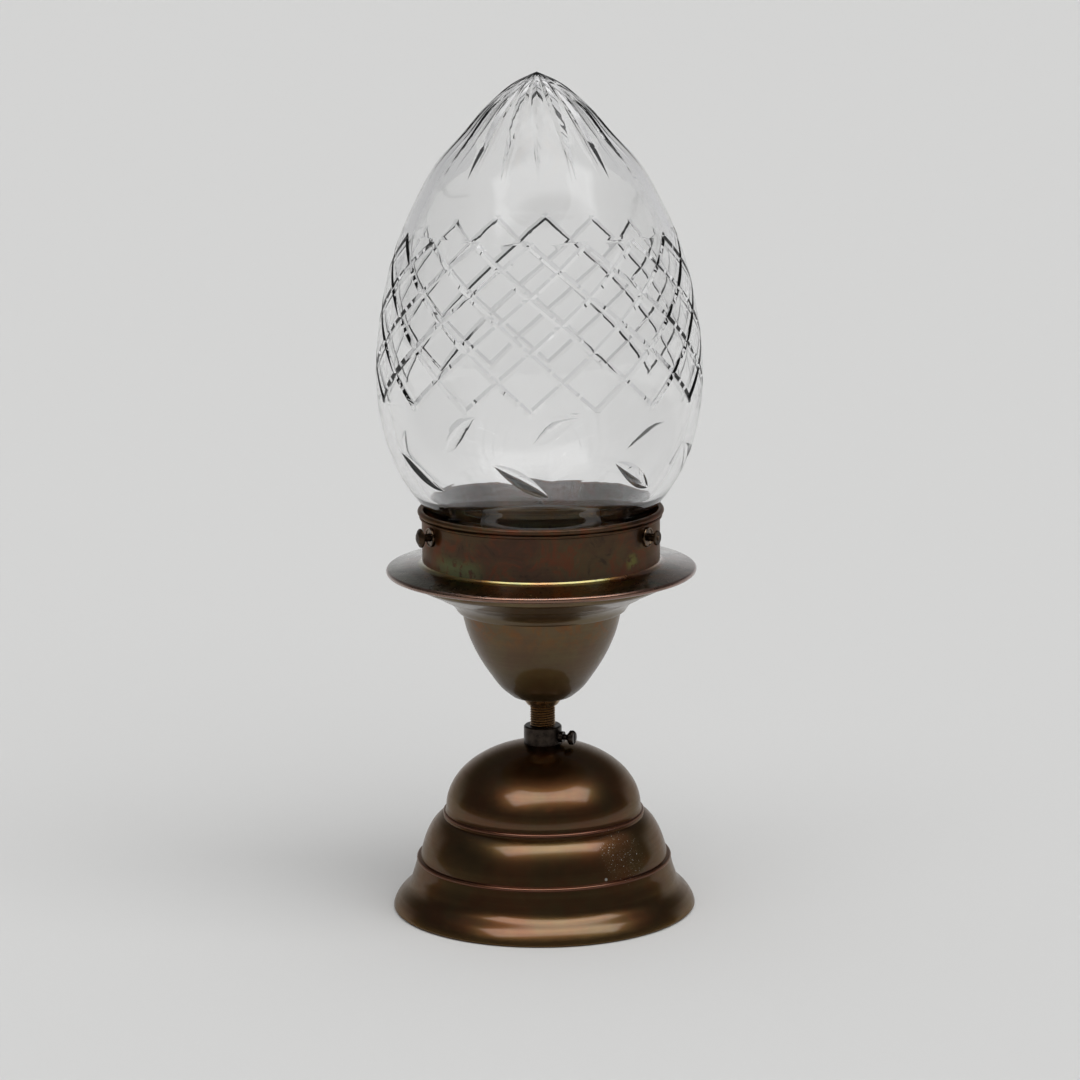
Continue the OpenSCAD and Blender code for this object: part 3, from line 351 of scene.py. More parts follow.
def border(row, way):
    """The zigzag edge of the lattice, above its first row (way -1) or below its last (way 1). Each
    groove runs on past its crossing a little, rises to the surface and ends."""
    run = GROOVE_RUN
    rim = way * (run + EDGE_MARGIN)
    c = lattice_corner
    inner = [
        *diamond_edge(1 if way < 0 else 3), *diamond_edge(2 if way < 0 else 0),
        [c((0, 0)), c((INSET - 1, 0)), c((run - 1, way * run))],
        [c((0, 0)), c((run - 1, way * run)), c((1 - run, way * run))],
        [c((0, 0)), c((1 - run, way * run)), c((1 - INSET, 0))],
        [c((run - 1, way * run)), c((-1 / 3, rim)), c((1 / 3, rim))],
        [c((run - 1, way * run)), c((1 / 3, rim)), c((1 - run, way * run))],
        [c((-1, 0), CUT_DEPTH), c((run - 1, way * run)), c((INSET - 1, 0))],
        [c((1, 0), CUT_DEPTH), c((1 - INSET, 0)), c((1 - run, way * run))],
    ]
    crossing = [
        [c((0, 0), CUT_DEPTH), c((0, way * INSET)), c((run, way * run))],
        [c((0, 0), CUT_DEPTH), c((0, way * INSET)), c((-run, way * run))],
        [c((0, way * INSET)), c((run, way * run)), c((0, rim))],
        [c((0, way * INSET)), c((-run, way * run)), c((0, rim))],
        [c((run, way * run)), c((0, rim)), c((2 / 3, rim))],
        [c((-run, way * run)), c((0, rim)), c((-2 / 3, rim))],
    ]
    a = np.arange(2 * DIAMONDS)
    odd = (a + row) % 2 == 1
    return np.concatenate([
        repeated(inner, np.c_[a[odd], 0 * a[odd] + row]), repeated(crossing, np.c_[a[~odd], 0 * a[~odd] + row])])


def border_ring(row, way):
    """Columns, first turn and height of the ring that the border meets."""
    return 3 * DIAMONDS, LATTICE_TURN + HALF_TURN * (row % 2), row_z(row + way * (GROOVE_RUN + EDGE_MARGIN))


def olive_rows(meet_z):
    """Rows from the lattice down to the neck, through the olives: slanted lens cuts whose depth is
    a parabola along the lens and across it."""
    columns = CAD_OLIVE_COLUMNS * SPLITS
    lens = 4 * SPLITS
    round_r = curve(SHADE_KNOTS, OLIVE_Z)
    slope = math.radians(OLIVE_SLOPE)
    half_turn = math.degrees(OLIVE_LEN / 2 * math.cos(slope) / round_r)
    half_drop = OLIVE_LEN / 2 * math.sin(slope) * 0.95
    j = np.arange(OLIVES * columns)
    first, within = j // columns * 360 / OLIVES + OLIVE_TURN, j % columns
    share = np.where(within <= lens, (within - lens / 2) / (lens / 2), 1 - 2 * (within - lens) / (columns - lens))
    gap = 360 / OLIVES - 2 * half_turn
    turn = first + np.where(within <= lens, half_turn * share, half_turn + gap * (within - lens) / (columns - lens))
    swell = np.where(within <= lens, 1 - share ** 2, 0)
    half = OLIVE_SLIVER + (OLIVE_W / 2 / math.cos(slope) - OLIVE_SLIVER) * swell

    def plain(z):
        return np.stack([OLIVE_TURN + 360 * (j - lens / 2) / len(j), z + 0.0 * j, 0.0 * j], -1)

    def level_row(level):
        depth = 1.9 * CUT_DEPTH * swell * (1 - level ** 2)
        return np.stack([turn, OLIVE_Z - half_drop * share + level * half, depth], -1)

    top = OLIVE_Z + half_drop + OLIVE_W / 2 + OLIVE_MARGIN
    low = OLIVE_Z - half_drop - OLIVE_W / 2 - OLIVE_MARGIN
    above = [plain(z) for z in np.linspace(meet_z, top, 5)]
    blend = [plain(top) * (1 - t) + level_row(1) * t for t in (0.25, 0.5, 0.75)]
    cuts = [level_row(level) for level in np.linspace(1, -1, 13)]
    under = [level_row(-1) * (1 - t) + plain(low) * t for t in (0.25, 0.5, 0.75)]
    below = [plain(z) for z in np.linspace(low, SHADE_KNOTS[0, 0], 22)]
    return above + blend + cuts + under + below


def plain_outline():
    """The neck, the lip and the whole inside of the shade, as a path from outside to the axis."""
    z = np.linspace(LIP_Z + 25.2, TIP_Z - 1, 90)
    tilt = shade_slope(z)
    along = np.sqrt(1 + tilt * tilt)
    glass = np.interp(z, [TIP_Z - THIN_FROM, TIP_Z], [GLASS, GLASS_TIP])
    wall = np.c_[curve(SHADE_KNOTS, z) - glass / along, z + glass * tilt / along]
    wall = wall[wall[:, 0] > 1.5]
    share = np.linspace(0, 1, 6)[1:]
    crown = np.c_[wall[-1, 0] * (1 - share), wall[-1, 1] + 0.4 * share * (2 - share)]
    neck = [[NECK_R, LIP_Z + 7.4], [LIP_R, LIP_Z + LIP_H], [LIP_R, LIP_Z], [NECK_R - GLASS, LIP_Z],
            [NECK_R - GLASS, LIP_Z + 15], [NECK_R - GLASS + 1.8, LIP_Z + 20], list(wall[0])]
    return np.r_[rounded(neck, 1.0), wall[1:], crown]


def shade():
    """The whole shade, outside and inside, closed at the lip and at the tip."""
    rows = star()
    top = border_ring(0, -1)
    bottom = border_ring(LAST_ROW, 1)
    b, a = np.mgrid[1:LAST_ROW, :2 * DIAMONDS]
    centres = np.c_[a[(a + b) % 2 == 1], b[(a + b) % 2 == 1]]
    full = repeated([t for k in range(4) for t in diamond_edge(k)], centres)
    half_drop = OLIVE_LEN / 2 * math.sin(math.radians(OLIVE_SLOPE)) * 0.95
    meet_z = (bottom[2] + OLIVE_Z + half_drop + OLIVE_W / 2 + OLIVE_MARGIN) / 2
    olive_ring = ring(OLIVES * CAD_OLIVE_COLUMNS, OLIVE_TURN - 720 / (OLIVES * CAD_OLIVE_COLUMNS), meet_z)
    star_last = ring(4 * STAR_RAYS, STAR_TURN, STAR_END_Z - 3.6)
    coarse = np.concatenate([
        skin(rows), skin([rows[-1], star_last[:-1]]),
        zipped(begun_at(top[0], top[1], STAR_TURN, top[2]), star_last),
        border(0, -1), full, border(LAST_ROW, 1),
        zipped(begun_at(bottom[0], bottom[1], olive_ring[0, 0], bottom[2]), olive_ring),
    ])
    outside = np.concatenate([faced(divided(coarse, SPLITS)), star_fan(rows[0]), faced(skin(olive_rows(meet_z)))])
    columns = OLIVES * CAD_OLIVE_COLUMNS * SPLITS
    inside = turned(plain_outline(), columns, olive_ring[0, 0], closed=False)
    return np.concatenate([on_glass(outside), inside[:, ::-1]])


# ---- Spun and turned brass ----

def canopy():
    """Three spun tiers: a flared foot, an arc and a dome, with a bead at each crease."""
    lip = 0.8
    flare = [[lip, CANOPY_R], [lip + 1.6, CANOPY_R - 0.5], [5.6, CANOPY_R - 2.5],
             [9, TIER2_R + (CANOPY_R - TIER2_R) * 0.45], [14, TIER2_R + 2.7], [CREASE2_Z, TIER2_R + 1]]
    low, high = math.radians(27), math.radians(84)
    w = np.linspace(low, high, 40)
    rise = (TIER2_H - 1.2) / (math.sin(high) - math.sin(low))
    tier2 = np.c_[DOME_R + (TIER2_R - DOME_R) / math.cos(low) * np.cos(w),
                  CREASE2_Z + rise * (np.sin(w) - math.sin(low)) + 0.2]
    side, end = 2.4, math.acos((COLLAR_R - 0.4) / DOME_R)
    w = np.linspace(0, end, 60)
    dome = np.c_[DOME_R * np.cos(w), CREASE1_Z + side + (DOME_H - side) / math.sin(end) * np.sin(w)]
    foot = rounded([[CANOPY_R - 2.2, 0], [CANOPY_R - 0.7, 0], [CANOPY_R, lip], [CANOPY_R, lip + 0.01]], 0.5)
    path = np.r_[foot, curve_path(flare, 48)[1:], tier2, dome, [[TUBE_R + 0.4, CANOPY_TOP]]]
    rising = np.r_[curve_path(flare, 48)[1:], tier2, dome]
    face = beaded(rising, TIER2_R + 0.6, CREASE2_Z, CREASE_BEAD_R)
    face = beaded(face, DOME_R + 0.5, CREASE1_Z + 0.3, CREASE_BEAD_R)
    return turned(sheet_outline(path, np.r_[foot, face, path[-1:]]))


def cup():
    """A deep bowl with a flat floor."""
    knots = [[CUP_Z + 0.3, CUP_FLOOR_R + 0.6], [CUP_Z + 2.6, 14.9], [CUP_Z + 0.27 * CUP_H, CUP_R * 0.65],
             [CUP_Z + 0.42 * CUP_H, CUP_R * 0.76], [CUP_Z + 0.7 * CUP_H, CUP_R * 0.91], [CUP_TOP, CUP_R]]
    path = np.r_[[[TUBE_R + 0.4, CUP_Z], [CUP_FLOOR_R, CUP_Z]], curve_path(knots, 60)]
    return turned(np.r_[path, [[CUP_R + 0.2, CUP_TOP], [CUP_R + 0.2, CUP_TOP + SHEET], [CUP_R - SHEET, CUP_TOP + SHEET]],
                        shifted(path, SHEET)[::-1]])


def saucer():
    """A hollow slope, a straight slope and an upright rim."""
    wide = STEP2_R - STEP1_R
    hollow = curve_path([[SAUCER_Z + 0.3, STEP1_R], [SAUCER_Z + 0.38 * STEP1_H, STEP1_R + 0.2 * wide],
                         [SAUCER_Z + 0.69 * STEP1_H, STEP1_R + 0.52 * wide], [STEP2_Z - 0.5, STEP2_R - 0.6]], 20)
    slopes = rounded([hollow[-1], [STEP2_R, STEP2_Z], [SAUCER_R - 0.8, RIM_Z - 0.4], [SAUCER_R, RIM_Z + 0.4],
                      [SAUCER_R, SAUCER_TOP]], 0.3)
    return turned(sheet_outline(np.r_[[[CUP_R + 0.1, SAUCER_Z], [STEP1_R - 0.3, SAUCER_Z]], hollow, slopes[1:]]))


def brim():
    """A flat plate whose outer part slopes down to a rolled edge, with a fillet at the gallery's foot."""
    edge_z = FLOOR_Z - BRIM_DROP
    root = [GALLERY_R + BRIM_ROOT, FLOOR_Z - BRIM_ROOT_DROP]
    end = [BRIM_R - 0.9, edge_z - 0.1]
    roll = arc(BRIM_R - EDGE_R, edge_z - EDGE_R + 0.2, EDGE_R, -165, 78, 20)
    inner = GALLERY_R - SHEET
    fillet = curve_path([[root[1], root[0]], [FLOOR_Z + 0.1, GALLERY_R + 0.6], [FLOOR_TOP, GALLERY_R]], 8)
    return turned(np.r_[
        [[FLOOR_HOLE_R, FLOOR_Z], [inner, FLOOR_Z], [inner, FLOOR_Z - 0.7], [root[0], root[1] - SHEET]],
        roll, fillet, [[FLOOR_HOLE_R, FLOOR_TOP]]])


def gallery():
    """An upright wall with two beads: a small one, and the rolled rim."""
    inner = GALLERY_R - SHEET
    small = math.degrees(math.acos(-0.25 / BEAD2_R))
    large = math.degrees(math.acos(-0.4 / RIM_BEAD_R))
    return turned(np.r_[
        [[inner, FLOOR_TOP], [GALLERY_R, FLOOR_TOP]],
        arc(GALLERY_R + 0.25, GALLERY_TOP - BEAD2_DROP, BEAD2_R, -small, small),
        arc(GALLERY_R + 0.4, GALLERY_TOP - RIM_BEAD_R, RIM_BEAD_R, -large, 180, 24)])


def bosses():
    """Three low discs with a raised rim. Each is turned about its own axis, then the axis is laid along
    the screw: side, height and reach become the tangent, the up and the outward way of that place."""
    outline = [[BOSS_HOLE_R, -0.3], [BOSS_R, -0.3], [BOSS_R, 0.45], [BOSS_R - 0.15, 0.7], [BOSS_R - 0.4, 0.8],
               [BOSS_R - 0.65, 0.7], [BOSS_R - 0.8, 0.5], [BOSS_HOLE_R + 0.3, 0.5], [BOSS_HOLE_R, 0.3]]
    side, up, out = np.moveaxis(turned(outline, 64), -1, 0)
    out = out + GALLERY_R
    placed = []
    for w in np.radians(SCREW_TURNS):
        placed.append(np.stack([out * math.cos(w) - side * math.sin(w), out * math.sin(w) + side * math.cos(w),
                                up + FLOOR_Z + SCREW_LIFT], -1))
    return np.concatenate(placed)


def thread():
    """A tube with a helix: the radius falls from crest to root and back once a pitch, and a column
    on round the tube starts one share of the pitch higher."""
    rows_a_turn, columns = 4, 48
    depth = 0.54 * THREAD_PITCH
    i = np.arange(int((TUBE_TOP - TUBE_Z) / THREAD_PITCH) * rows_a_turn + 3 * rows_a_turn)[:, None]
    j = np.arange(columns + 1)[None]
    z = TUBE_Z + THREAD_PITCH * (i / rows_a_turn + j / columns - 1.5)
    wave = np.abs(i % rows_a_turn - rows_a_turn / 2) / (rows_a_turn / 2)
    ends = np.clip(np.minimum(z - TUBE_Z, TUBE_TOP - z) / THREAD_PITCH, 0, 1)
    r = TUBE_R - depth + depth * (1 - wave) * ends
    z = np.clip(z, TUBE_Z, TUBE_TOP)
    w = 2 * np.pi * j / columns + 0 * z
    outside = grid_triangles(np.stack([r * np.cos(w), r * np.sin(w), z], -1))
    rest = [[TUBE_R - depth, TUBE_TOP], [TUBE_BORE_R, TUBE_TOP], [TUBE_BORE_R, TUBE_Z], [TUBE_R - depth, TUBE_Z]]
    return np.concatenate([outside, turned(rest, columns, closed=False)])


def cone_nut():
    """A nut whose lower side is a cone."""
    bore = TUBE_R + 0.05
    side = rounded([[bore, NUT_Z], [TUBE_R + 0.9, NUT_Z], [CONE_NUT_R, CUP_Z - 0.6], [CONE_NUT_R, CUP_Z], [bore, CUP_Z]], 0.3)
    return turned(side, 96)


# ---- Finishes ----

def tint(text):
    """A colour written as RRGGBB, made linear."""
    parts = [int(text[k:k + 2], 16) / 255 for k in (0, 2, 4)]
    return (*[c / 12.92 if c <= 0.04045 else ((c + 0.055) / 1.055) ** 2.4 for c in parts], 1.0)


class Value:
    """A socket in a node tree. Sums, products and the like of values add Math nodes."""

    def __init__(self, nodes, socket):
        self.nodes, self.socket = nodes, socket

    def maths(self, operation, *values):
        return self.nodes.add("ShaderNodeMath", {"operation": operation}, values)

    def __add__(self, other):
        return self.maths("ADD", self, other)

    def __radd__(self, other):
        return self.maths("ADD", other, self)

    def __sub__(self, other):
        return self.maths("SUBTRACT", self, other)

    def __rsub__(self, other):
        return self.maths("SUBTRACT", other, self)

    def __mul__(self, other):
        return self.maths("MULTIPLY", self, other)

    def __rmul__(self, other):
        return self.maths("MULTIPLY", other, self)

    def __truediv__(self, other):
        return self.maths("DIVIDE", self, other)

    def __pow__(self, other):
        return self.maths("POWER", self, other)

    def __gt__(self, other):
        return self.maths("GREATER_THAN", self, other)

    def __abs__(self):
        return self.maths("ABSOLUTE", self)

    def step(self, low, high):
        """0 below low, 1 above high and a smooth rise between, or a fall where low is above high."""
        ends = (low, high, 0.0, 1.0) if low < high else (high, low, 1.0, 0.0)
        return self.nodes.add("ShaderNodeMapRange", {"interpolation_type": "SMOOTHSTEP"}, (self, *ends))


class Nodes:
    """Fills the node tree of a material or world."""

    def __init__(self, owner, output):
        owner.use_nodes = True
        self.tree = owner.node_tree
        self.tree.nodes.clear()
        self.owner, self.output = owner, self.tree.nodes.new(output)

    def add(self, kind, settings=None, sockets=(), output=0):
        """Adds a node: its settings are set first, then its sockets get values or links."""
        node = self.tree.nodes.new(kind)
        for key, value in (settings or {}).items():
            if key == "stops":
                while len(node.color_ramp.elements) < len(value):
                    node.color_ramp.elements.new(0.5)
                for element, (place, colour) in zip(node.color_ramp.elements, value):
                    element.position, element.color = place, colour
            else:
                setattr(node, key, value)
        pairs = sockets.items() if isinstance(sockets, dict) else enumerate(sockets)
        for key, value in pairs:
            if isinstance(value, Value):
                self.tree.links.new(value.socket, node.inputs[key])
            else:
                node.inputs[key].default_value = value
        return Value(self, node.outputs[output])

    def place(self):
        """Object coordinates in millimetres, as a vector."""
        metres = self.add("ShaderNodeTexCoord", output=3)
        return self.add("ShaderNodeVectorMath", {"operation": "SCALE"}, {0: metres, "Scale": 1 / MM})

    def parts(self, vector):
        """The x, y and z of a vector."""
        made = self.add("ShaderNodeSeparateXYZ", None, [vector])
        outputs = made.socket.node.outputs
        return [Value(self, outputs[k]) for k in range(3)]

    def vector(self, x, y, z):
        return self.add("ShaderNodeCombineXYZ", None, [x, y, z])

    def noise(self, vector, scale, detail=3.0, roughness=0.5, distortion=0.0):
        """Noise from 0 to 1, `scale` lumps to a unit of the vector."""
        return self.add("ShaderNodeTexNoise", {"noise_dimensions": "3D"},
                        {"Vector": vector, "Scale": scale, "Detail": detail, "Roughness": roughness,
                         "Distortion": distortion})

    def mix(self, factor, a, b, blend="MIX"):
        """Colour a, going over to b."""
        return self.add("ShaderNodeMix", {"data_type": "RGBA", "blend_type": blend, "clamp_factor": True},
                        {0: factor, 6: a, 7: b}, output=2)

    def near(self, vector, centre, reach, soft):
        """1 within `reach` of a place, falling to 0 over `soft`."""
        gap = self.add("ShaderNodeVectorMath", {"operation": "DISTANCE"}, {0: vector, 1: centre}, output=1)
        return gap.step(reach + soft, reach)

    def surface(self, **sockets):
        """A Principled shader on the output. Underscores in names stand for spaces."""
        named = {key.replace("_", " "): value for key, value in sockets.items()}
        shader = self.add("ShaderNodeBsdfPrincipled", None, named)
        self.tree.links.new(shader.socket, self.output.inputs[0])
        return self.owner

    def bump(self, height, strength, distance=0.2):
        return self.add("ShaderNodeBump", None, {"Strength": strength, "Distance": distance * MM, "Height": height})


def finish(name):
    return Nodes(bpy.data.materials.new(name), "ShaderNodeOutputMaterial")


def spun_brass(name, extra=None, brown="654b32", olive="6a5836", rough=0.4, coat=0.9, streaks=0.3,
               edge=(1.0, 1.0, 1.0, 1.0), relief=0.1):
    """Old spun brass under its skin of oxide: fine rings round the axis, cloudy brown and olive patina.
    `extra` gets the nodes, the place, its parts, the radius, the colour and the roughness, and gives
    back the colour and roughness."""
    n = finish(name)
    p = n.place()
    x, y, z = n.parts(p)
    radius = (x * x + y * y) ** 0.5
    rings = n.vector(x / radius * 0.6, y / radius * 0.6, (z + radius * 0.7) * 1.0)
    fine = n.noise(rings, 3.1, 4.0, 0.6)
    broad = n.noise(rings, 0.55, 2.0, 0.5)
    clouds = n.noise(p, 0.045, 5.0, 0.62)
    mottle = n.noise(p, 0.22, 6.0, 0.68, 0.4)
    colour = n.mix(clouds.step(0.36, 0.66), tint(brown), tint(olive))
    colour = n.mix(mottle.step(0.56, 0.78) * 0.45, colour, tint("74462c"))
    colour = n.mix(broad.step(0.5, 0.75) * streaks * 0.8, colour, tint("857047"))
    colour = n.mix(fine.step(0.35, 0.75) * streaks, colour, tint("3a2c20"))
    roughness = rough + (mottle - 0.5) * 0.2 + (fine - 0.5) * 0.12
    if extra:
        colour, roughness = extra(n, p, (x, y, z), radius, colour, roughness)
    return n.surface(Base_Color=colour, Metallic=1.0, Roughness=roughness, Coat_Weight=coat - fine * 0.3,
                     Specular_Tint=edge, Coat_Roughness=0.08,
                     Normal=n.bump(fine * streaks * 2.2 + mottle * 0.5, relief, 0.12))


def canopy_wear_and_painted_light(n, p, xyz, radius, colour, roughness):
    """Wear and painted light: copper at the creases, painted as their dark red cove shade and bead highlight, a
    painted gold highlight at the foot's edge, and a dry scratched patch at the front right.
    """
    x, y, z = xyz
    # Painted shade and highlight: a copper tint over each crease's cove and bead.
    crease = abs(z - CREASE2_Z - 0.2).step(1.2, 0.5)
    crease1 = abs(z - CREASE1_Z - 0.5).step(1.2, 0.5)
    colour = n.mix((crease + crease1) * 0.7, colour, tint("6c4030"))
    patch = n.near(p, (30.0, -33.0, 29.0), 7.0, 6.0)
    scratch = n.noise(p, 0.9, 5.0, 0.8, 1.5).step(0.56, 0.64)
    colour = n.mix(patch * scratch * 0.6, colour, tint("8c7c60"))
    chips = n.noise(p, 1.7, 2.0, 0.4).step(0.69, 0.72) * patch
    chip = n.near(p, (24.0, -42.6, 22.0), 0.3, 0.5)
    colour = n.mix(chips + chip, colour, tint("d8d5cc"))
    # Painted highlight: the foot's lowest 5 mm is tinted gold.
    foot = z.step(5.0, 1.5)
    colour = n.mix(foot * 0.5, colour, tint("7a6038"))
    return colour, roughness + patch * 0.14 + chips * 0.3


def cup_rust_and_painted_shade(n, p, xyz, radius, colour, roughness):
    """Rusty orange blotches under the saucer, and painted shade that darkens the cup towards the floor."""
    x, y, z = xyz
    high = z.step(CUP_TOP - 14, CUP_TOP - 3)
    rust = n.noise(p, 0.13, 6.0, 0.72, 0.8).step(0.44, 0.6)
    colour = n.mix(high * 0.35, colour, tint("6c5636"))
    colour = n.mix(high * rust * 0.75, colour, tint("80501f"))
    # Painted shade: the cup darkens towards its floor.
    colour = n.mix(z.step(CUP_Z + 16, CUP_Z + 2) * 0.4, colour, tint("3c3020"))
    return colour, roughness + 0.08 + high * rust * 0.08


def gallery_marks(n, p, xyz, radius, colour, roughness):
    """Red-brown and dark clouds, a green patch at the front left, and an olive spot at the front right."""
    x, y, z = xyz
    red = n.noise(p, 0.09, 5.0, 0.7, 0.8)
    colour = n.mix(red.step(0.46, 0.62) * 0.75, colour, tint("663620"))
    colour = n.mix(red.step(0.44, 0.3) * 0.7, colour, tint("2e241c"))
    breakup = n.noise(p, 0.35, 4.0, 0.6)
    green = z.step(149.0, 144.0) * abs(x + 32).step(12.0, 4.0) * y.step(0.0, -10.0) * breakup.step(0.34, 0.5)
    colour = n.mix(green * 0.7, colour, tint("606a44"))
    spot = n.near(p, (35.0, -31.0, 145.0), 1.0, 3.5) * breakup.step(0.42, 0.56)
    colour = n.mix(spot * 0.7, colour, tint("77763c"))
    return colour, roughness + 0.03


def brim_stains_and_painted_light(n, p, xyz, radius, colour, roughness):
    """Olive and orange clouds, a line of temper colours in the fillet, a painted reflection that pales the far
    sides, and a painted pink highlight on the edge.
    """
    x, y, z = xyz
    clouds = n.noise(p, 0.09, 5.0, 0.65, 0.8)
    colour = n.mix(clouds.step(0.48, 0.6) * 0.75, colour, tint("80561e"))
    colour = n.mix(clouds.step(0.46, 0.34) * 0.65, colour, tint("465034"))
    stains = n.noise(p, 0.3, 5.0, 0.7, 0.5)
    colour = n.mix(stains.step(0.54, 0.64) * 0.6, colour, tint("35291e"))
    fillet = radius.step(GALLERY_R + 2.4, GALLERY_R + 1.2)
    turn = n.noise(n.vector(x, y, 0.0), 0.035, 2.0, 0.5)
    temper = n.add("ShaderNodeValToRGB", {"stops": [
        (0.30, tint("7f9b6a")), (0.42, tint("b8b060")), (0.52, tint("c88a4c")), (0.64, tint("a86a5a")),
        (0.75, tint("6f8a6c"))]}, [turn])
    colour = n.mix(fillet * 0.42, colour, temper)
    # Painted reflection: the outer brim is paled at the left and right sides, grey-green at the left and pinkish at
    # the right.
    painted_side_reflection = radius.step(GALLERY_R + 5.0, GALLERY_R + 9.0) * abs(x).step(18.0, 46.0)
    pale = n.mix(x.step(-10.0, 10.0), tint("8d9080"), tint("8a7264"))
    colour = n.mix(painted_side_reflection * clouds.step(0.3, 0.6) * 0.7, colour, pale)
    # Painted highlight: the rolled edge is tinted pink.
    edge = radius.step(BRIM_R - 1.2, BRIM_R - 0.6)
    colour = n.mix(edge * 0.6, colour, tint("8a6054"))
    return colour, roughness + stains * 0.2 - 0.1


def plain_metal(name, colour, dark, rough, grain=0.8):
    """Turned metal with grime in its clouds and fine marks."""
    n = finish(name)
    p = n.place()
    grime = n.noise(p, 0.5 * grain, 5.0, 0.65)
    marks = n.noise(p, 4.0, 3.0, 0.6)
    shade_of = n.mix(grime.step(0.35, 0.7), tint(colour), tint(dark))
    return n.surface(Base_Color=shade_of, Metallic=1.0, Roughness=rough + (grime - 0.5) * 0.25,
                     Normal=n.bump(marks, 0.12, 0.08))


def thread_metal():
    """Brass thread: bright crests, and dark grime and painted shade in the roots."""
    n = finish("thread_brass_finish")
    p = n.place()
    x, y, z = n.parts(p)
    radius = (x * x + y * y) ** 0.5
    # Grime and painted shade: the thread's roots are darkened.
    root = radius.step(TUBE_R - 0.08, TUBE_R - 0.45)
    grime = n.noise(p, 0.8, 4.0, 0.6)
    colour = n.mix(root * 0.9, tint("bfa078"), tint("4a3424"))
    colour = n.mix(grime.step(0.4, 0.7) * 0.4, colour, tint("86694a"))
    return n.surface(Base_Color=colour, Metallic=1.0, Roughness=0.3 + root * 0.3)


def moulded(name, colour, rough, coat, lump=0.4):
    """Moulded or glazed stuff: faint clouds in its colour, and a skin that isn't quite even."""
    n = finish(name)
    p = n.place()
    clouds = n.noise(p, 0.12, 4.0, 0.6)
    skin_noise = n.noise(p, lump, 3.0, 0.5)
    base = tint(colour)
    deep = tuple(c * 0.7 for c in base[:3]) + (1.0,)
    return n.surface(Base_Color=n.mix(clouds.step(0.3, 0.7), base, deep), Roughness=rough + (clouds - 0.5) * 0.12,
                     Coat_Weight=coat, Coat_Roughness=0.08, Normal=n.bump(skin_noise, 0.08, 0.15))


def braided(name, colour, thread_colour):
    """A wire's braided cotton: two crossing families of slanted threads."""
    n = finish(name)
    p = n.place()
    x, y, z = n.parts(p)
    one = ((x + y + z) * 4.2).maths("SINE", (x + y + z) * 4.2)
    other = ((x - y - z) * 4.2).maths("SINE", (x - y - z) * 4.2)
    weave = one * other * 0.5 + 0.5
    fluff = n.noise(p, 3.0, 4.0, 0.7)
    colour_of = n.mix(weave * 0.6 + fluff * 0.3, tint(colour), tint(thread_colour))
    return n.surface(Base_Color=colour_of, Roughness=0.85, Normal=n.bump(weave + fluff * 0.4, 0.5, 0.15))


def crystal():
    """Clear lead crystal, with a trace of dust in its roughness."""
    n = finish("crystal_finish")
    p = n.place()
    dust = n.noise(p, 0.06, 4.0, 0.6)
    return n.surface(Base_Color=tint("fdfdfd"), Roughness=dust.step(0.6, 0.85) * 0.02,
                     IOR=1.54, Transmission_Weight=1.0)


# ---- The lamp ----

old_brass_canopy = spun_brass("old_brass_canopy", canopy_wear_and_painted_light, "5e3d24", "58452a", 0.34, 0.6, 0.1,
                              (0.6, 0.5, 0.4, 1.0))
piece("canopy_sheet", canopy(), "canopy", "old_brass", old_brass_canopy, "canopy")
piece("cup_bowl", cup(), "stem", "old_brass",
      spun_brass("old_brass_cup", cup_rust_and_painted_shade, "5c4429", "60502f", 0.46, 0.7, 0.06), "cup")
piece("saucer_sheet", saucer(), "stem", "old_brass",
      spun_brass("old_brass_saucer", None, "5c4830", "665638", 0.4, 0.75, 0.1), "saucer")
piece("brim_plate", brim(), "stem", "old_brass",
      spun_brass("old_brass_brim", brim_stains_and_painted_light, "5e4a2c", "6a5836", 0.3, 1.1, 0.1, relief=0.02), "brim")
piece("gallery_wall", gallery(), "stem", "old_brass",
      spun_brass("old_brass_gallery", gallery_marks, "4c3426", "54442c", 0.42, 0.4, 0.1, (0.5, 0.4, 0.3, 1.0)), "gallery")
piece("boss_rings", bosses(), "stem", "old_brass", plain_metal("boss_finish", "6e5a46", "3a2e24", 0.28),
      "screw_bosses")
piece("tube_thread", thread(), "stem", "thread_brass", thread_metal(), "threaded_tube", crease=35)
turned_brass = plain_metal("turned_brass_finish", "b89a70", "6e563c", 0.3)
piece("nut_cone", cone_nut(), "stem", "thread_brass", turned_brass, "cone_nut")
piece("shade_glass", shade(), "shade", "crystal", crystal(), "shade", crease=16)

dark_brass = plain_metal("dark_brass_finish", "3e3630", "2a2420", 0.34)
bright_brass = plain_metal("bright_brass_finish", "b9964e", "7a5f30", 0.28)
steel = plain_metal("steel_finish", "8c8f92", "5c5b58", 0.38)
bakelite = moulded("bakelite_finish", "1c1917", 0.6, 0.0)
screw_brown = plain_metal("screw_brown_finish", "4c3c2e", "2c2219", 0.42)
porcelain = moulded("porcelain_finish", "e6e2d6", 0.22, 0.5)
carried_over = {
    dark_brass: ("collar", "collar_screw", "screw_shell", "centre_contact"),
    turned_brass: ("cup_nut", "strap_nut", "lock_nut"),
    screw_brown: ("shade_screw_1", "shade_screw_2", "shade_screw_3"),
    bright_brass: ("holder_bush", "wire_clamps", "block_screws"),
    steel: ("cup_washer", "holder_grub_screw", "clamp_screws", "ceiling_strap", "block_fixing_screw"),
    bakelite: ("holder_cap", "holder_skirt"),
    porcelain: ("holder_insert", "terminal_block"),
    braided("brown_wire_finish", "4a2418", "6b4030"): ("lead_live",),
    braided("black_wire_finish", "16171a", "33343a"): ("lead_neutral",),
}
for look, names in carried_over.items():
    for name in names:
        mesh = frame["nodes"][name].data
        mesh.materials.clear()
        mesh.materials.append(look)


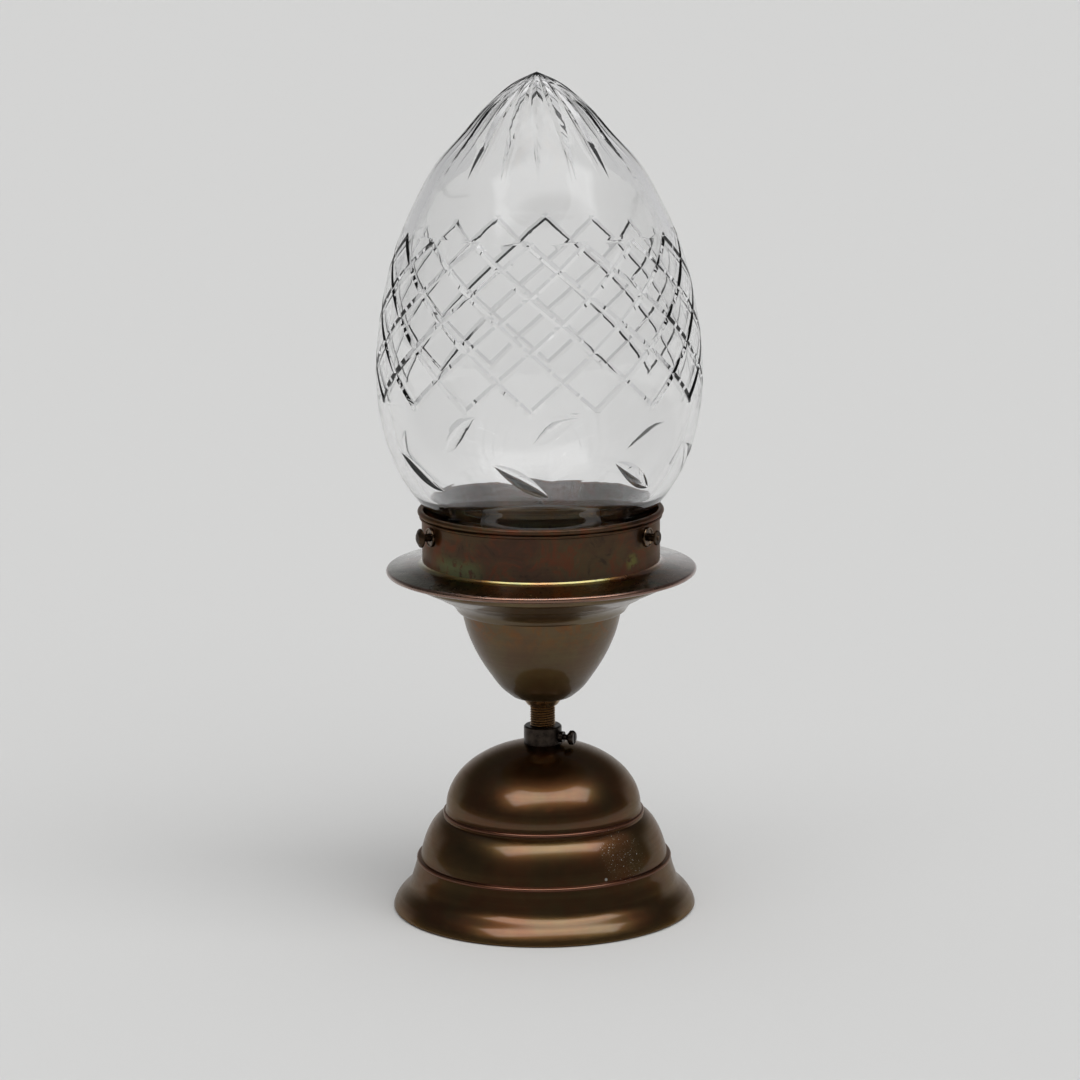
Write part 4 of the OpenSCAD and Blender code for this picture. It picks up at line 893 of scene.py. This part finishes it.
# ---- Stage, light and camera ----

def flat_sheet(name, low, high, z, look):
    """A level rectangle on the stage, between two corners [x, y]."""
    mesh = bpy.data.meshes.new(name)
    corners = [(low[0], low[1], z), (high[0], low[1], z), (high[0], high[1], z), (low[0], high[1], z)]
    mesh.from_pydata(corners, [], [(0, 1, 2, 3)])
    mesh.materials.append(look)
    made = bpy.data.objects.new(name, mesh)
    bpy.context.scene.collection.objects.link(made)
    return made


def stage_paint(name, colour, rough=0.9):
    return finish(name).surface(Base_Color=tint(colour), Roughness=rough, Specular_IOR_Level=0.1)


def floor():
    """A pale floor, much larger than the view."""
    flat_sheet("floor", (-40, -40), (40, 40), 0.0, stage_paint("floor_finish", "d6d6d5"))


def world():
    """A studio: a pale sweep behind, a dark room in front, and a soft panel high in the front."""
    made = bpy.data.worlds.new("studio")
    n = Nodes(made, "ShaderNodeOutputWorld")
    way = n.add("ShaderNodeTexCoord", output=0)
    x, y, z = n.parts(way)
    flat = (x * x + y * y) ** 0.5
    behind = (y / (flat + 0.001)).step(0.4, 0.6) * z.step(0.46, 0.08) * (0.48 + x * 0.1)
    turn, lift = math.radians(PANEL_TURN), math.radians(PANEL_LIFT)
    facing = np.array([math.sin(turn) * math.cos(lift), -math.cos(turn) * math.cos(lift), math.sin(lift)])
    right = np.array([math.cos(turn), math.sin(turn), 0])
    upward = np.cross(right, -facing)

    def along(axis):
        return n.add("ShaderNodeVectorMath", {"operation": "DOT_PRODUCT"}, {0: way, 1: axis.tolist()}, output=1)

    depth = along(facing)
    panel = (depth > 0.05)
    for axis, half in ((right, PANEL_HALF[0]), (upward, PANEL_HALF[1])):
        off = abs(along(axis) / (abs(depth) + 0.001))
        panel = panel * off.step(half + 0.1, half - 0.04)
    brushed = n.add("ShaderNodeLightPath", output=3) - n.add("ShaderNodeLightPath", output=4)
    through = n.add("ShaderNodeLightPath", output=6)
    sides = abs(x).step(0.68, 0.92) * z.step(0.8, 0.5)
    sweep = (0.46 + x * 0.08 + z.step(0.2, 0.8) * 0.3) * (1 - sides * 0.75)
    pale = behind + (sweep - behind) * through
    light = ROOM_LIGHT + pale + z.step(0.6, 0.98) * 0.1 + panel * (PANEL_LIGHT + brushed * PANEL_IN_METAL)
    shader = n.add("ShaderNodeBackground", None, {"Color": (0.995, 0.995, 1.0, 1.0), "Strength": light})
    n.tree.links.new(shader.socket, n.output.inputs[0])
    bpy.context.scene.world = made


def soft_sun(name, turn, lift, spread, strength):
    """A very wide sun: light that falls evenly on the whole floor. Metal doesn't mirror it."""
    lamp = bpy.data.lights.new(name, "SUN")
    lamp.energy, lamp.angle = strength, math.radians(spread)
    made = bpy.data.objects.new(name, lamp)
    made.matrix_world = (Matrix.Rotation(math.radians(turn), 4, "Z")
                         @ Matrix.Rotation(math.radians(90 - lift), 4, "X"))
    made.visible_glossy = made.visible_transmission = False
    bpy.context.scene.collection.objects.link(made)


def camera():
    """The photograph's own camera: its place, pitch, roll and focal length in pixels."""
    back, height, pitch, roll = 1.414, 0.43311, 0.1991518, math.radians(-0.54)
    focal_pixels, photo_pixels, sensor = 3683.5, 1080, 36.0
    data = bpy.data.cameras.new("camera")
    data.sensor_width, data.lens = sensor, sensor * focal_pixels / photo_pixels
    made = bpy.data.objects.new("camera", data)
    made.matrix_world = (Matrix.Translation((-0.0004, -back, height)) @ Matrix.Rotation(math.pi / 2 - pitch, 4, "X")
                         @ Matrix.Rotation(roll, 4, "Z"))
    bpy.context.scene.collection.objects.link(made)
    bpy.context.scene.camera = made


floor()
world()
soft_sun("sky_light", 0, 88, 150, 1.35)
soft_sun("window_light", 38, 48, 60, 1.0)
camera()
bpy.context.scene.view_settings.view_transform = "Standard"
